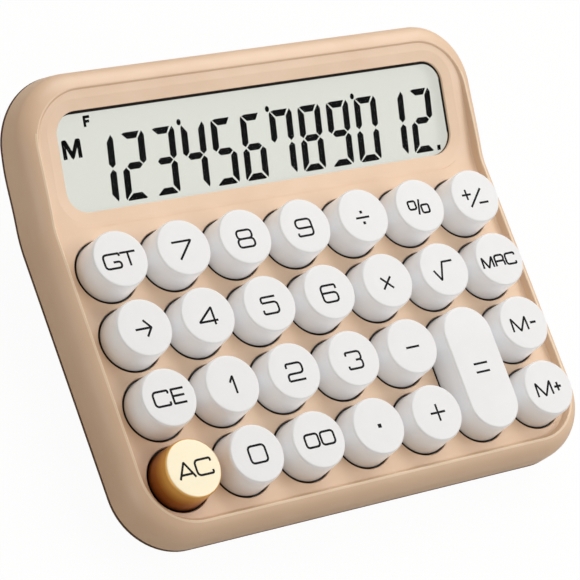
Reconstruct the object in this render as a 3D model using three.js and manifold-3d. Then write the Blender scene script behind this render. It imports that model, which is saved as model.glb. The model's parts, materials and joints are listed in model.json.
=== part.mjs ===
// Desktop calculator with round keycaps, a bent slab of a case and a raised display.
// Lengths are in millimetres. Angles are in degrees where their name says so.
import * as THREE from 'three';
import { mergeVertices } from 'three/addons/utils/BufferGeometryUtils.js';
import Module from 'manifold-3d';

const wasm = await Module();
wasm.setup();

// The whole case
const deckTiltDegrees = 6;
const displayTiltDegrees = 19;
const caseSideMargin = 16.5;
const caseFrontMargin = 16.8;
const displayReach = 41.8;
const bendMargin = 14;
const bendRadius = 16;
const sideDepth = 9.8;
const caseCornerRadius = 18;
const wall = 2;
const fitGap = 0.3;
const cutOverrun = 4;
const cornerSteps = 6;
const bendSteps = 3;

// The rim round the deck
const rimHeight = 2.7;
const rimBackHeight = 0.8;
const rimFallOffset = 1;
const rimFallLength = 35;
const rimInset = 3.65;
const rimHalfThickness = 1;
const rimCornerRadius = 15;
const rimFootInset = 5.2;
const lowerEdgeRound = 0.6;
const lowerEdgeInset = 0.35;
const rimShoulderShare = 0.5;
const rimBrowShare = 0.88;
const rimBrowOutShare = 0.6;

// The deck and the keys
const deckThickness = 2;
const keyPitch = 20;
const keyBridge = 1.5;
const keyHoleGap = 0.45;
const keyDraft = 0.5;
const keyEdgeWidth = 0.5;
const keyTopHeight = 9.25;
const keyShoulderHeight = 8.75;
const keyFlangeOverlap = 0.5;
const keyFlangeThickness = 1;
const keyWall = 1.6;
const keyPostRadius = 1.9;
const keyPostReach = 1.5;
const keyTravel = 2.8;
const keySides = 14;
const longKeyExtra = 0.4;

// The dome sheet and the main board
const domeSqueezed = 0.5;
const domeFootRadius = 4.6;
const domeTopRadius = 2.7;
const domeWall = 0.9;
const domeSides = 6;
const sheetThickness = 0.8;
const sheetSideInset = 7;
const sheetFrontInset = 6.2;
const sheetBackInset = 3.6;
const boardThickness = 1.6;
const boardSideInset = 6.5;
const boardFrontInset = 5.4;
const boardBackInset = 1.6;
const boardCornerRadius = 16;
const chipRadius = 7;
const chipHeight = 1.4;
const chipPlaceX = -12;
const chipPlaceY = 10;

// The display
const windowSideMargin = 11.3;
const windowFront = 3.2;
const windowBackMargin = 10.9;
const windowCornerRadius = 6.5;
const windowBevelWidth = 2.3;
const windowBevelDepth = 0.9;
const windowPlateThickness = 1.8;
const lensMargin = 2.3;
const lensEdgeMargin = 1.5;
const lensThickness = 1.3;
const panelThickness = 2.2;
const glassCornerRadius = 8;
const holderWall = 1.4;
const holderFloor = 1.4;
const ribbonHalfWidth = 34;
const ribbonThickness = 0.4;
const ribbonFoot = 1.5;

// The bottom cover
const undersideDepth = 15.4;
const undersideInset = 4.8;
const floorThickness = 1.8;
const seamGap = 0.3;
const seamInset = 0.3;
const bellyLowDepth = 14.2;
const bellyLowInset = 3;
const bellyHighDepth = 12.6;
const bellyHighInset = 1.4;
const lipHeight = 1.8;
const lipThickness = 1.2;
const standSideInset = 18.5;
const standFrontInset = 11.8;
const standBackReach = 31;
const standCornerRadius = 15;
const standSpread = 6;
const standSpreadHeight = 24;
const standFrontDepth = 1;
const standWall = 2;
const standFloor = 2.4;
const standNoseLength = 25;

// The feet
const footRadius = 6;
const footProud = 1.6;
const footSunk = 1;
const footEdgeRound = 0.6;
const footSideInset = 12;
const footFrontInset = 13;
const footBackInset = 11;
const footSides = 20;

// The battery room and its door
const cellRadius = 5.2;
const cellLength = 44.5;
const cellNubRadius = 1.9;
const cellNubHeight = 1;
const cellSides = 16;
const cellGap = 0.6;
const roomBackInset = 17.5;
const roomWall = 1.5;
const roomEndSpace = 2.4;
const doorThickness = 1.8;
const doorMargin = 2;
const doorGap = 0.4;
const doorPinReach = 1.6;
const doorPinGap = 0.3;
const doorPinSides = 12;
const doorGripDepth = 0.8;
const doorGripWidth = 16;
const doorGripBreadth = 1.4;
const doorGripStep = 2.8;
const contactThickness = 0.4;
const contactHalfWidth = 4.2;
const contactHalfHeight = 4;
const contactTabHalfWidth = 1.5;
const contactTabReach = 1.5;
const contactDimpleRadius = 2.6;
const contactDimpleSides = 6;
const leadRadius = 0.6;
const leadSides = 6;
const leadSteps = 10;
const leadSag = 3;
const leadBoardPlaceX = -40;
const leadBoardInset = 11;
const leadBoardSpacing = 5.2;

// The screws
const screwRadius = 1.1;
const screwHeadRadius = 2.6;
const screwHeadHeight = 1.6;
const screwHeadTopShare = 0.7;
const screwTipDepth = 5.6;
const screwSides = 10;
const bossSides = 8;
const bossRadius = 3.5;
const towerRadius = 4.2;
const screwShelfDepth = 14.2;
const counterboreRadius = 3;
const boardScrewRadius = 0.9;
const boardScrewHeadRadius = 2.2;
const boardScrewHeadHeight = 1.2;
const boardScrewTipDepth = 6.4;
const boardBossRadius = 2.8;

// The keys' names, row by row from the display to the front
const keyRows = [
  ['key_gt', 'key_7', 'key_8', 'key_9', 'key_divide', 'key_percent', 'key_sign'],
  ['key_backspace', 'key_4', 'key_5', 'key_6', 'key_multiply', 'key_root', 'key_memory_recall'],
  ['key_ce', 'key_1', 'key_2', 'key_3', 'key_minus', '', 'key_memory_minus'],
  ['key_ac', 'key_0', 'key_00', 'key_point', 'key_plus', '', 'key_memory_plus'],
];

// Places worked out from the sizes above
const deckTilt = THREE.MathUtils.degToRad(deckTiltDegrees);
const displayTilt = THREE.MathUtils.degToRad(displayTiltDegrees);
const keysReachX = keyPitch * (keyRows[0].length - 1) / 2;
const keysReachY = keyPitch * (keyRows.length - 1) / 2;
const caseHalfWidth = keysReachX + caseSideMargin;
const caseFront = -keysReachY - caseFrontMargin;
const bendPlace = keysReachY + bendMargin;
const bendHalf = bendRadius * Math.tan(displayTilt / 2);
const bendStart = bendPlace - bendHalf;
const bendEnd = bendStart + bendRadius * displayTilt;
const caseBack = bendEnd - bendHalf + displayReach;
const rimFallStart = bendPlace + rimFallOffset;
const rimFallEnd = rimFallStart + rimFallLength;
const keyHoleRadius = (keyPitch - keyBridge) / 2;
const keyFlangeRadius = keyHoleRadius + keyFlangeOverlap;
const keySkirtRadius = keyHoleRadius - keyHoleGap;
const keyShoulderRadius = keySkirtRadius - keyDraft;
const keyTopRadius = keyShoulderRadius - keyEdgeWidth;
const longKeySpan = keyPitch + longKeyExtra;
const flangeTop = deckThickness + fitGap;
const flangeBottom = flangeTop + keyFlangeThickness;
const postBottom = flangeBottom + keyPostReach;
const domeTop = postBottom + fitGap;
const sheetTop = domeTop + keyTravel + domeSqueezed;
const sheetBottom = sheetTop + sheetThickness;
const sheetHalfWidth = caseHalfWidth - sheetSideInset;
const sheetFront = caseFront + sheetFrontInset;
const sheetBack = bendPlace - sheetBackInset;
const boardHalfWidth = caseHalfWidth - boardSideInset;
const boardFront = caseFront + boardFrontInset;
const boardBack = bendPlace - boardBackInset;
const boardTop = sheetBottom + fitGap;
const boardBottom = boardTop + boardThickness;
const bossBottom = boardTop - fitGap;
const towerTop = boardBottom + fitGap;
const floorTop = undersideDepth - floorThickness;
const seamDepth = sideDepth + seamGap;
const lipTop = seamDepth - lipHeight;
const standHalfWidth = caseHalfWidth - standSideInset;
const standFront = caseFront + standFrontInset;
const standBack = bendPlace + standBackReach;
const standRoomFront = standFront + standNoseLength;
const standDrop = -standFront * Math.sin(deckTilt) + undersideDepth * Math.cos(deckTilt);
const deckHeight = footProud + standFrontDepth + standDrop;
const lensTop = windowPlateThickness + fitGap;
const lensBottom = lensTop + lensThickness;
const panelTop = lensBottom + fitGap;
const panelBottom = panelTop + panelThickness;
const holderInner = panelBottom + fitGap;
const holderBottom = holderInner + holderFloor;
const windowHalfWidth = caseHalfWidth - windowSideMargin;
const windowBack = displayReach - windowBackMargin;
const glassHalfWidth = windowHalfWidth + lensMargin;
const glassFront = windowFront - lensEdgeMargin;
const glassBack = windowBack + lensEdgeMargin;
const longKeyX = 2 * keyPitch;
const longKeyY = -keyPitch;
const footPlaceX = standHalfWidth - footSideInset;
const footFrontY = standFront + footFrontInset;
const footBackY = standBack - footBackInset;
const roomPlaceY = standBack - roomBackInset;
const roomHalfLength = cellLength / 2 + roomEndSpace;
const roomHalfWidth = 2 * cellRadius + 1.5 * cellGap;
const roomFloor = footProud + doorThickness + cellGap;
const roomTop = roomFloor + 2 * cellRadius + cellGap;
const cellAxisHeight = roomFloor + cellRadius;
const cellOffset = cellRadius + cellGap / 2;
const contactHeight = cellAxisHeight;
const leadBoardPlaceY = bendPlace - leadBoardInset;
const doorPinY = roomPlaceY - roomHalfWidth - doorMargin + doorThickness / 2;
const doorPinZ = footProud + doorThickness / 2;
const doorBackY = roomPlaceY + roomHalfWidth + doorMargin;

const deckMatrix = new THREE.Matrix4().makeRotationX(deckTilt);
deckMatrix.setPosition(0, 0, deckHeight);
const displayMatrix = new THREE.Matrix4().makeRotationX(displayTilt);
displayMatrix.setPosition(0, bendPlace, 0);

const roundKeys = [];
keyRows.forEach((names, row) => {
  names.forEach((name, column) => {
    if (name !== '') {
      roundKeys.push({
        name,
        x: column * keyPitch - keysReachX,
        y: keysReachY - row * keyPitch,
      });
    }
  });
});
const caseScrewPlaces = [
  { x: -2.5 * keyPitch, y: keyPitch },
  { x: 2.5 * keyPitch, y: keyPitch },
  { x: -keyPitch / 2, y: -keyPitch },
  { x: keyPitch / 2, y: -keyPitch },
];
const boardScrewPlaces = [
  { x: -1.5 * keyPitch, y: keyPitch },
  { x: 1.5 * keyPitch, y: keyPitch },
  { x: -2.5 * keyPitch, y: -keyPitch },
  { x: 2.5 * keyPitch, y: 0 },
];

const contactPlaces = [
  { name: 'positive_contact', y: roomPlaceY - cellOffset },
  { name: 'negative_contact', y: roomPlaceY + cellOffset },
];
const footPlaces = [
  { name: 'foot_front_left', x: -footPlaceX, y: footFrontY },
  { name: 'foot_front_right', x: footPlaceX, y: footFrontY },
  { name: 'foot_back_left', x: -footPlaceX, y: footBackY },
  { name: 'foot_back_right', x: footPlaceX, y: footBackY },
];

// Turns a closed geometry into a solid for cutting and joining.
function toSolid(geometry) {
  const bare = geometry.clone();
  bare.deleteAttribute('normal');
  bare.deleteAttribute('uv');
  const merged = mergeVertices(bare);
  return new wasm.Manifold(new wasm.Mesh({
    numProp: 3,
    vertProperties: new Float32Array(merged.attributes.position.array),
    triVerts: new Uint32Array(merged.index.array),
  }));
}

// Turns a solid back into a geometry.
function toGeometry(solid) {
  const mesh = solid.getMesh();
  const geometry = new THREE.BufferGeometry();
  geometry.setAttribute('position', new THREE.BufferAttribute(new Float32Array(mesh.vertProperties), 3));
  geometry.setIndex(new THREE.BufferAttribute(new Uint32Array(mesh.triVerts), 1));
  return geometry;
}

function joinAll(solids) {
  return solids.reduce((whole, piece) => whole.add(piece));
}

function cutAll(body, cutters) {
  return cutters.reduce((rest, cutter) => rest.subtract(cutter), body);
}

// Smooth step from 0 to 1 between two places.
function ease(value, start, end) {
  const share = THREE.MathUtils.clamp((value - start) / (end - start), 0, 1);
  return share * share * (3 - 2 * share);
}

// Height of the rim above the deck at a distance along the case.
function rimAt(along) {
  return rimHeight + (rimBackHeight - rimHeight) * ease(along, rimFallStart, rimFallEnd);
}

// Maps a point of the flat case to the bent one: x across, along from front to back, up from the deck.
function bent(x, along, up) {
  if (along <= bendStart) {
    return new THREE.Vector3(x, along, up);
  }
  const turn = Math.min((along - bendStart) / bendRadius, displayTilt);
  const past = Math.max(along - bendEnd, 0);
  const y = bendStart + (bendRadius - up) * Math.sin(turn) + past * Math.cos(displayTilt);
  const z = bendRadius - (bendRadius - up) * Math.cos(turn) + past * Math.sin(displayTilt);
  return new THREE.Vector3(x, y, z);
}

function straight(x, along, up) {
  return new THREE.Vector3(x, along, up);
}

// Half an outline from its front edge to its back edge, with round corners.
function halfOutline(level, breaks) {
  const places = [];
  for (let step = 0; step <= cornerSteps; step += 1) {
    const angle = (Math.PI / 2) * (step / cornerSteps);
    places.push({
      x: level.halfWidth - level.radius * (1 - Math.sin(angle)),
      along: level.front + level.radius * (1 - Math.cos(angle)),
    });
  }
  breaks.forEach((along) => {
    places.push({ x: level.halfWidth, along });
  });
  for (let step = 0; step <= cornerSteps; step += 1) {
    const angle = (Math.PI / 2) * (step / cornerSteps);
    places.push({
      x: level.halfWidth - level.radius * (1 - Math.cos(angle)),
      along: level.back - level.radius * (1 - Math.sin(angle)),
    });
  }
  return places;
}

// A closed shape through rounded outlines, from the lowest level to the last one.
function loft(levels, breaks = [], place = straight) {
  const points = [];
  let count = 0;
  levels.forEach((level) => {
    const places = halfOutline(level, breaks);
    count = places.length;
    places.forEach((spot) => {
      const up = typeof level.up === 'function' ? level.up(spot.along) : level.up;
      points.push(place(-spot.x, spot.along, up), place(spot.x, spot.along, up));
    });
  });
  const left = (level, spot) => (level * count + spot) * 2;
  const right = (level, spot) => left(level, spot) + 1;
  const faces = [];
  const quad = (a, b, c, d) => faces.push(a, b, c, a, c, d);
  const last = levels.length - 1;
  for (let spot = 0; spot < count - 1; spot += 1) {
    quad(left(0, spot), left(0, spot + 1), right(0, spot + 1), right(0, spot));
    quad(left(last, spot), right(last, spot), right(last, spot + 1), left(last, spot + 1));
  }
  for (let level = 0; level < last; level += 1) {
    const next = level + 1;
    for (let spot = 0; spot < count - 1; spot += 1) {
      quad(right(level, spot), right(level, spot + 1), right(next, spot + 1), right(next, spot));
      quad(left(level, spot + 1), left(level, spot), left(next, spot), left(next, spot + 1));
    }
    quad(left(level, 0), right(level, 0), right(next, 0), left(next, 0));
    quad(right(level, count - 1), left(level, count - 1), left(next, count - 1), right(next, count - 1));
  }
  const geometry = new THREE.BufferGeometry();
  geometry.setFromPoints(points);
  geometry.setIndex(faces);
  return geometry;
}

// A level of the case outline, moved in from its widest line.
function caseLevel(inset, up, radius) {
  return {
    halfWidth: caseHalfWidth - inset,
    front: caseFront + inset,
    back: caseBack - inset,
    radius,
    up,
  };
}

function caseBreaks() {
  const places = [];
  for (let step = 0; step <= bendSteps; step += 1) {
    places.push(bendStart + (bendEnd - bendStart) * (step / bendSteps));
  }
  return places;
}

function caseLoft(levels) {
  return toSolid(loft(levels, caseBreaks(), bent));
}

// A plate with round corners between two heights.
function plate(halfWidth, front, back, radius, low, high) {
  const level = { halfWidth, front, back, radius };
  return loft([{ ...level, up: low }, { ...level, up: high }]);
}

function box(lowX, highX, lowY, highY, lowZ, highZ) {
  const geometry = new THREE.BoxGeometry(highX - lowX, highY - lowY, highZ - lowZ);
  geometry.translate((lowX + highX) / 2, (lowY + highY) / 2, (lowZ + highZ) / 2);
  return geometry;
}

// A shape turned about the Z axis, from a profile that starts and ends on the axis.
function turned(profile, sides) {
  const points = profile.map(([radius, height]) => new THREE.Vector2(radius, height));
  const geometry = new THREE.LatheGeometry(points, sides);
  geometry.rotateX(Math.PI / 2);
  return geometry;
}

function peg(radius, low, high, sides) {
  return turned([[0, low], [radius, low], [radius, high], [0, high]], sides);
}

function pegAt(place, radius, low, high, sides) {
  return toSolid(peg(radius, low, high, sides).translate(place.x, place.y, 0));
}

// Two half rounds joined by a straight run along Y, from a profile of radius and height.
function longTurned(profile, sides, span) {
  const points = [];
  profile.forEach(([radius, height]) => {
    for (let side = 0; side <= sides; side += 1) {
      const angle = Math.PI * (side / sides);
      points.push(new THREE.Vector3(radius * Math.cos(angle), span / 2 + radius * Math.sin(angle), height));
    }
    for (let side = 0; side <= sides; side += 1) {
      const angle = Math.PI + Math.PI * (side / sides);
      points.push(new THREE.Vector3(radius * Math.cos(angle), -span / 2 + radius * Math.sin(angle), height));
    }
  });
  const count = 2 * (sides + 1);
  const faces = [];
  const last = profile.length - 1;
  for (let ring = 0; ring < last; ring += 1) {
    for (let side = 0; side < count; side += 1) {
      const next = (side + 1) % count;
      const low = ring * count;
      const high = low + count;
      faces.push(low + side, low + next, high + next, low + side, high + next, high + side);
    }
  }
  for (let side = 1; side < count - 1; side += 1) {
    faces.push(0, side + 1, side);
    faces.push(last * count, last * count + side, last * count + side + 1);
  }
  const geometry = new THREE.BufferGeometry();
  geometry.setFromPoints(points);
  geometry.setIndex(faces);
  return geometry;
}

function finish(color, roughness, metalness = 0) {
  return new THREE.MeshStandardMaterial({ color, roughness, metalness });
}

function mesh(name, geometry, material) {
  const piece = new THREE.Mesh(geometry, material);
  piece.name = name;
  return piece;
}

const looks = {
  beige: () => finish(0xe8cdb4, 0.6),
  white: () => finish(0xf1f1f3, 0.35),
  gold: () => finish(0xd9a860, 0.3, 0.9),
  clear: () => new THREE.MeshStandardMaterial({
    color: 0xffffff,
    roughness: 0.05,
    transparent: true,
    opacity: 0.25,
  }),
  panel: () => finish(0xd9dbd2, 0.3),
  black: () => finish(0x1c1c1e, 0.6),
  silicone: () => finish(0xd8d6cf, 0.7),
  board: () => finish(0x2f6b45, 0.5),
  steel: () => finish(0xb9bcc0, 0.35, 0.9),
  ribbon: () => finish(0xb98244, 0.5),
  rubber: () => finish(0x3a3836, 0.85),
  cell: () => finish(0x39424d, 0.4),
  redLead: () => finish(0xb42a24, 0.5),
  blackLead: () => finish(0x202022, 0.5),
};

// Top cover: a bent shell with a raised rim, key holes, a window and screw bosses
function topCover() {
  const rimUp = (share) => (along) => rimAt(along) * share;
  const radiusAt = (inset) => {
    const share = Math.min(inset / rimInset, 1);
    return caseCornerRadius + (rimCornerRadius - caseCornerRadius) * share;
  };
  const outside = caseLoft([
    caseLevel(lowerEdgeInset, -sideDepth, caseCornerRadius),
    caseLevel(0, lowerEdgeRound - sideDepth, caseCornerRadius),
    caseLevel(rimInset - rimHalfThickness, rimUp(rimShoulderShare), radiusAt(rimInset - rimHalfThickness)),
    caseLevel(rimInset - rimHalfThickness * rimBrowOutShare, rimUp(rimBrowShare), radiusAt(rimInset)),
    caseLevel(rimInset, rimUp(1), rimCornerRadius),
    caseLevel(rimInset + rimHalfThickness * rimBrowOutShare, rimUp(rimBrowShare), rimCornerRadius),
    caseLevel(rimInset + rimHalfThickness, rimUp(rimShoulderShare), rimCornerRadius - rimHalfThickness),
    caseLevel(rimFootInset, 0, rimCornerRadius - rimHalfThickness),
  ]);
  const innerInset = rimFootInset - wall / 2;
  const inside = caseLoft([
    caseLevel(lowerEdgeInset + wall, -sideDepth - cutOverrun, caseCornerRadius - wall),
    caseLevel(lowerEdgeInset + wall, fitGap - lipTop, caseCornerRadius - wall),
    caseLevel(innerInset, -deckThickness, rimCornerRadius),
  ]);
  const bevel = toSolid(loft([
    {
      halfWidth: windowHalfWidth,
      front: windowFront,
      back: windowBack,
      radius: windowCornerRadius,
      up: -windowBevelDepth,
    },
    {
      halfWidth: windowHalfWidth + windowBevelWidth,
      front: windowFront - windowBevelWidth,
      back: windowBack + windowBevelWidth,
      radius: windowCornerRadius + windowBevelWidth,
      up: 0,
    },
    {
      halfWidth: windowHalfWidth + windowBevelWidth,
      front: windowFront - windowBevelWidth,
      back: windowBack + windowBevelWidth,
      radius: windowCornerRadius + windowBevelWidth,
      up: cutOverrun,
    },
  ]).applyMatrix4(displayMatrix));
  const opening = toSolid(plate(
    windowHalfWidth,
    windowFront,
    windowBack,
    windowCornerRadius,
    -cutOverrun,
    cutOverrun,
  ).applyMatrix4(displayMatrix));
  const thinning = toSolid(plate(
    glassHalfWidth + fitGap + holderWall + fitGap,
    glassFront - fitGap - holderWall - fitGap,
    glassBack + fitGap + holderWall + fitGap,
    glassCornerRadius,
    -deckThickness - cutOverrun,
    -windowPlateThickness,
  ).applyMatrix4(displayMatrix));
  const holes = roundKeys.map((key) => pegAt(key, keyHoleRadius, -cutOverrun, cutOverrun, keySides));
  const longHole = toSolid(longTurned(
    [[keyHoleRadius, -cutOverrun], [keyHoleRadius, cutOverrun]],
    keySides / 2,
    longKeySpan,
  ).translate(longKeyX, longKeyY, 0));
  const bosses = caseScrewPlaces.map(
    (place) => pegAt(place, bossRadius, -bossBottom, -deckThickness / 2, bossSides),
  );
  const boardBosses = boardScrewPlaces.map(
    (place) => pegAt(place, boardBossRadius, -bossBottom, -deckThickness / 2, bossSides),
  );
  const pilots = caseScrewPlaces.map((place) => pegAt(
    place,
    screwRadius + fitGap,
    -bossBottom - cutOverrun,
    -screwTipDepth + fitGap,
    bossSides,
  ));
  const boardPilots = boardScrewPlaces.map((place) => pegAt(
    place,
    boardScrewRadius + fitGap,
    -bossBottom - cutOverrun,
    -boardScrewTipDepth + fitGap,
    bossSides,
  ));
  const shell = joinAll([outside.subtract(inside), ...bosses, ...boardBosses]);
  const cutters = [bevel, opening, thinning, ...holes, longHole, ...pilots, ...boardPilots];
  return mesh('top_cover', toGeometry(cutAll(shell, cutters)), looks.beige());
}

// Keys: hollow caps with a holding flange under the deck and a post over each dome
const keyProfile = [
  [keyFlangeRadius, -flangeBottom],
  [keyFlangeRadius, -flangeTop],
  [keySkirtRadius, -flangeTop],
  [keyShoulderRadius, keyShoulderHeight],
  [keyTopRadius, keyTopHeight],
];
const keyRoomProfile = [
  [keySkirtRadius - keyWall, -flangeBottom],
  [keyShoulderRadius - keyWall, keyTopHeight - keyWall],
];

function roundKey(key) {
  const [roomFoot, roomHead] = keyRoomProfile;
  const profile = [
    [0, -postBottom],
    [keyPostRadius, -postBottom],
    [keyPostRadius, roomHead[1]],
    roomHead,
    roomFoot,
    ...keyProfile,
    [0, keyTopHeight],
  ];
  const material = key.name === 'key_ac' ? looks.gold() : looks.white();
  const piece = mesh(key.name, turned(profile, keySides), material);
  piece.position.set(key.x, key.y, 0);
  return piece;
}

function longKey() {
  const body = toSolid(longTurned(keyProfile, keySides / 2, longKeySpan));
  const room = toSolid(longTurned(
    [[keyRoomProfile[0][0], -flangeBottom - cutOverrun], ...keyRoomProfile],
    keySides / 2,
    longKeySpan,
  ));
  const posts = [-keyPitch / 2, keyPitch / 2].map(
    (y) => pegAt({ x: 0, y }, keyPostRadius, -postBottom, keyTopHeight - keyWall / 2, bossSides),
  );
  const piece = mesh('key_equals', toGeometry(joinAll([body.subtract(room), ...posts])), looks.white());
  piece.position.set(longKeyX, longKeyY, 0);
  return piece;
}

// Dome sheet: one moulded silicone sheet with a hollow dome under each key post
function domeSheet() {
  const sheet = toSolid(plate(
    sheetHalfWidth,
    sheetFront,
    sheetBack,
    boardCornerRadius,
    -sheetBottom,
    -sheetTop,
  ));
  const places = [
    ...roundKeys,
    { x: longKeyX, y: longKeyY - keyPitch / 2 },
    { x: longKeyX, y: longKeyY + keyPitch / 2 },
  ];
  const domes = places.map((place) => toSolid(turned([
    [0, -sheetBottom],
    [domeFootRadius, -sheetBottom],
    [domeFootRadius, -sheetTop],
    [domeTopRadius, -domeTop],
    [0, -domeTop],
  ], domeSides).translate(place.x, place.y, 0)));
  const hollows = places.map((place) => toSolid(turned([
    [0, -sheetBottom - cutOverrun],
    [domeFootRadius, -sheetBottom - cutOverrun],
    [domeTopRadius - domeWall, -domeTop - domeWall],
    [0, -domeTop - domeWall],
  ], domeSides).translate(place.x, place.y, 0)));
  const bossHoles = caseScrewPlaces.map(
    (place) => pegAt(place, bossRadius + fitGap, -boardBottom, -domeTop, bossSides),
  );
  const boardBossHoles = boardScrewPlaces.map(
    (place) => pegAt(place, boardBossRadius + fitGap, -boardBottom, -domeTop, bossSides),
  );
  const body = joinAll([sheet, ...domes]);
  const cutters = [...hollows, ...bossHoles, ...boardBossHoles];
  return mesh('dome_sheet', toGeometry(cutAll(body, cutters)), looks.silicone());
}

// Main board with holes for the screws
function mainBoard() {
  const body = toSolid(plate(
    boardHalfWidth,
    boardFront,
    boardBack,
    boardCornerRadius,
    -boardBottom,
    -boardTop,
  ));
  const low = -boardBottom - cutOverrun;
  const high = -boardTop + cutOverrun;
  const holes = caseScrewPlaces.map((place) => pegAt(place, screwRadius + fitGap, low, high, bossSides));
  const smallHoles = boardScrewPlaces.map(
    (place) => pegAt(place, boardScrewRadius + fitGap, low, high, bossSides),
  );
  return mesh('main_board', toGeometry(cutAll(body, [...holes, ...smallHoles])), looks.board());
}

function controllerChip() {
  const top = -boardBottom - fitGap;
  const profile = [
    [0, top - chipHeight],
    [chipRadius / 2, top - chipHeight],
    [chipRadius, top - chipHeight / 2],
    [chipRadius, top],
    [0, top],
  ];
  const piece = mesh('controller_chip', turned(profile, screwSides), looks.black());
  piece.position.set(chipPlaceX, chipPlaceY, 0);
  return piece;
}

// Display: lens, panel and holder stacked under the window
function displayLens() {
  const geometry = plate(glassHalfWidth, glassFront, glassBack, glassCornerRadius, -lensBottom, -lensTop);
  return mesh('display_lens', geometry, looks.clear());
}

function lcdPanel() {
  const geometry = plate(glassHalfWidth, glassFront, glassBack, glassCornerRadius, -panelBottom, -panelTop);
  return mesh('lcd_panel', geometry, looks.panel());
}

function lcdHolder() {
  const outer = toSolid(plate(
    glassHalfWidth + fitGap + holderWall,
    glassFront - fitGap - holderWall,
    glassBack + fitGap + holderWall,
    glassCornerRadius + holderWall,
    -holderBottom,
    -lensTop,
  ));
  const inner = toSolid(plate(
    glassHalfWidth + fitGap,
    glassFront - fitGap,
    glassBack + fitGap,
    glassCornerRadius,
    -holderInner,
    cutOverrun,
  ));
  const slot = toSolid(box(
    -ribbonHalfWidth - fitGap,
    ribbonHalfWidth + fitGap,
    glassFront - fitGap - holderWall - cutOverrun,
    glassFront + holderWall,
    -holderInner - ribbonThickness - fitGap,
    -holderInner + cutOverrun / 2,
  ));
  return mesh('lcd_holder', toGeometry(cutAll(outer, [inner, slot])), looks.white());
}

// Ribbon from the lower edge of the panel to the back edge of the board
function lcdRibbon() {
  const start = new THREE.Vector3(0, glassFront - fitGap, ribbonThickness - panelBottom);
  start.applyMatrix4(displayMatrix);
  const turn = new THREE.Vector3(0, boardBack, fitGap + ribbonThickness - boardTop);
  const end = new THREE.Vector3(0, boardBack - ribbonFoot, turn.z);
  const shape = new THREE.Shape();
  shape.moveTo(start.y, start.z);
  shape.lineTo(turn.y, turn.z);
  shape.lineTo(end.y, end.z);
  shape.lineTo(end.y, end.z - ribbonThickness);
  shape.lineTo(turn.y + ribbonThickness, turn.z - ribbonThickness);
  shape.lineTo(start.y + ribbonThickness, start.z - ribbonThickness);
  shape.closePath();
  const geometry = new THREE.ExtrudeGeometry(shape, { depth: 2 * ribbonHalfWidth, bevelEnabled: false });
  geometry.applyMatrix4(new THREE.Matrix4().makeBasis(
    new THREE.Vector3(0, 1, 0),
    new THREE.Vector3(0, 0, 1),
    new THREE.Vector3(1, 0, 0),
  ));
  geometry.translate(-ribbonHalfWidth, 0, 0);
  return mesh('lcd_ribbon', geometry, looks.ribbon());
}

// Screws: a pan head below a plain shank, seated from below
function screw(name, place, headTop, sizes, material) {
  const profile = [
    [0, -headTop - sizes.headHeight],
    [sizes.headRadius * screwHeadTopShare, -headTop - sizes.headHeight],
    [sizes.headRadius, -headTop - sizes.headHeight / 2],
    [sizes.headRadius, -headTop],
    [sizes.radius, -headTop],
    [sizes.radius, -sizes.tipDepth],
    [0, -sizes.tipDepth],
  ];
  const piece = mesh(name, turned(profile, screwSides), material);
  piece.position.set(place.x, place.y, 0);
  return piece;
}

// Bottom cover: a bent floor with a rounded belly, a seam lip and a wedge stand with the battery room
function standLevel(up, inset) {
  const share = (up - footProud) / standSpreadHeight;
  const spread = standSpread * share - inset;
  return {
    halfWidth: standHalfWidth + spread,
    front: standFront - spread,
    back: standBack + spread,
    radius: standCornerRadius + spread,
    up,
  };
}

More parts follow.
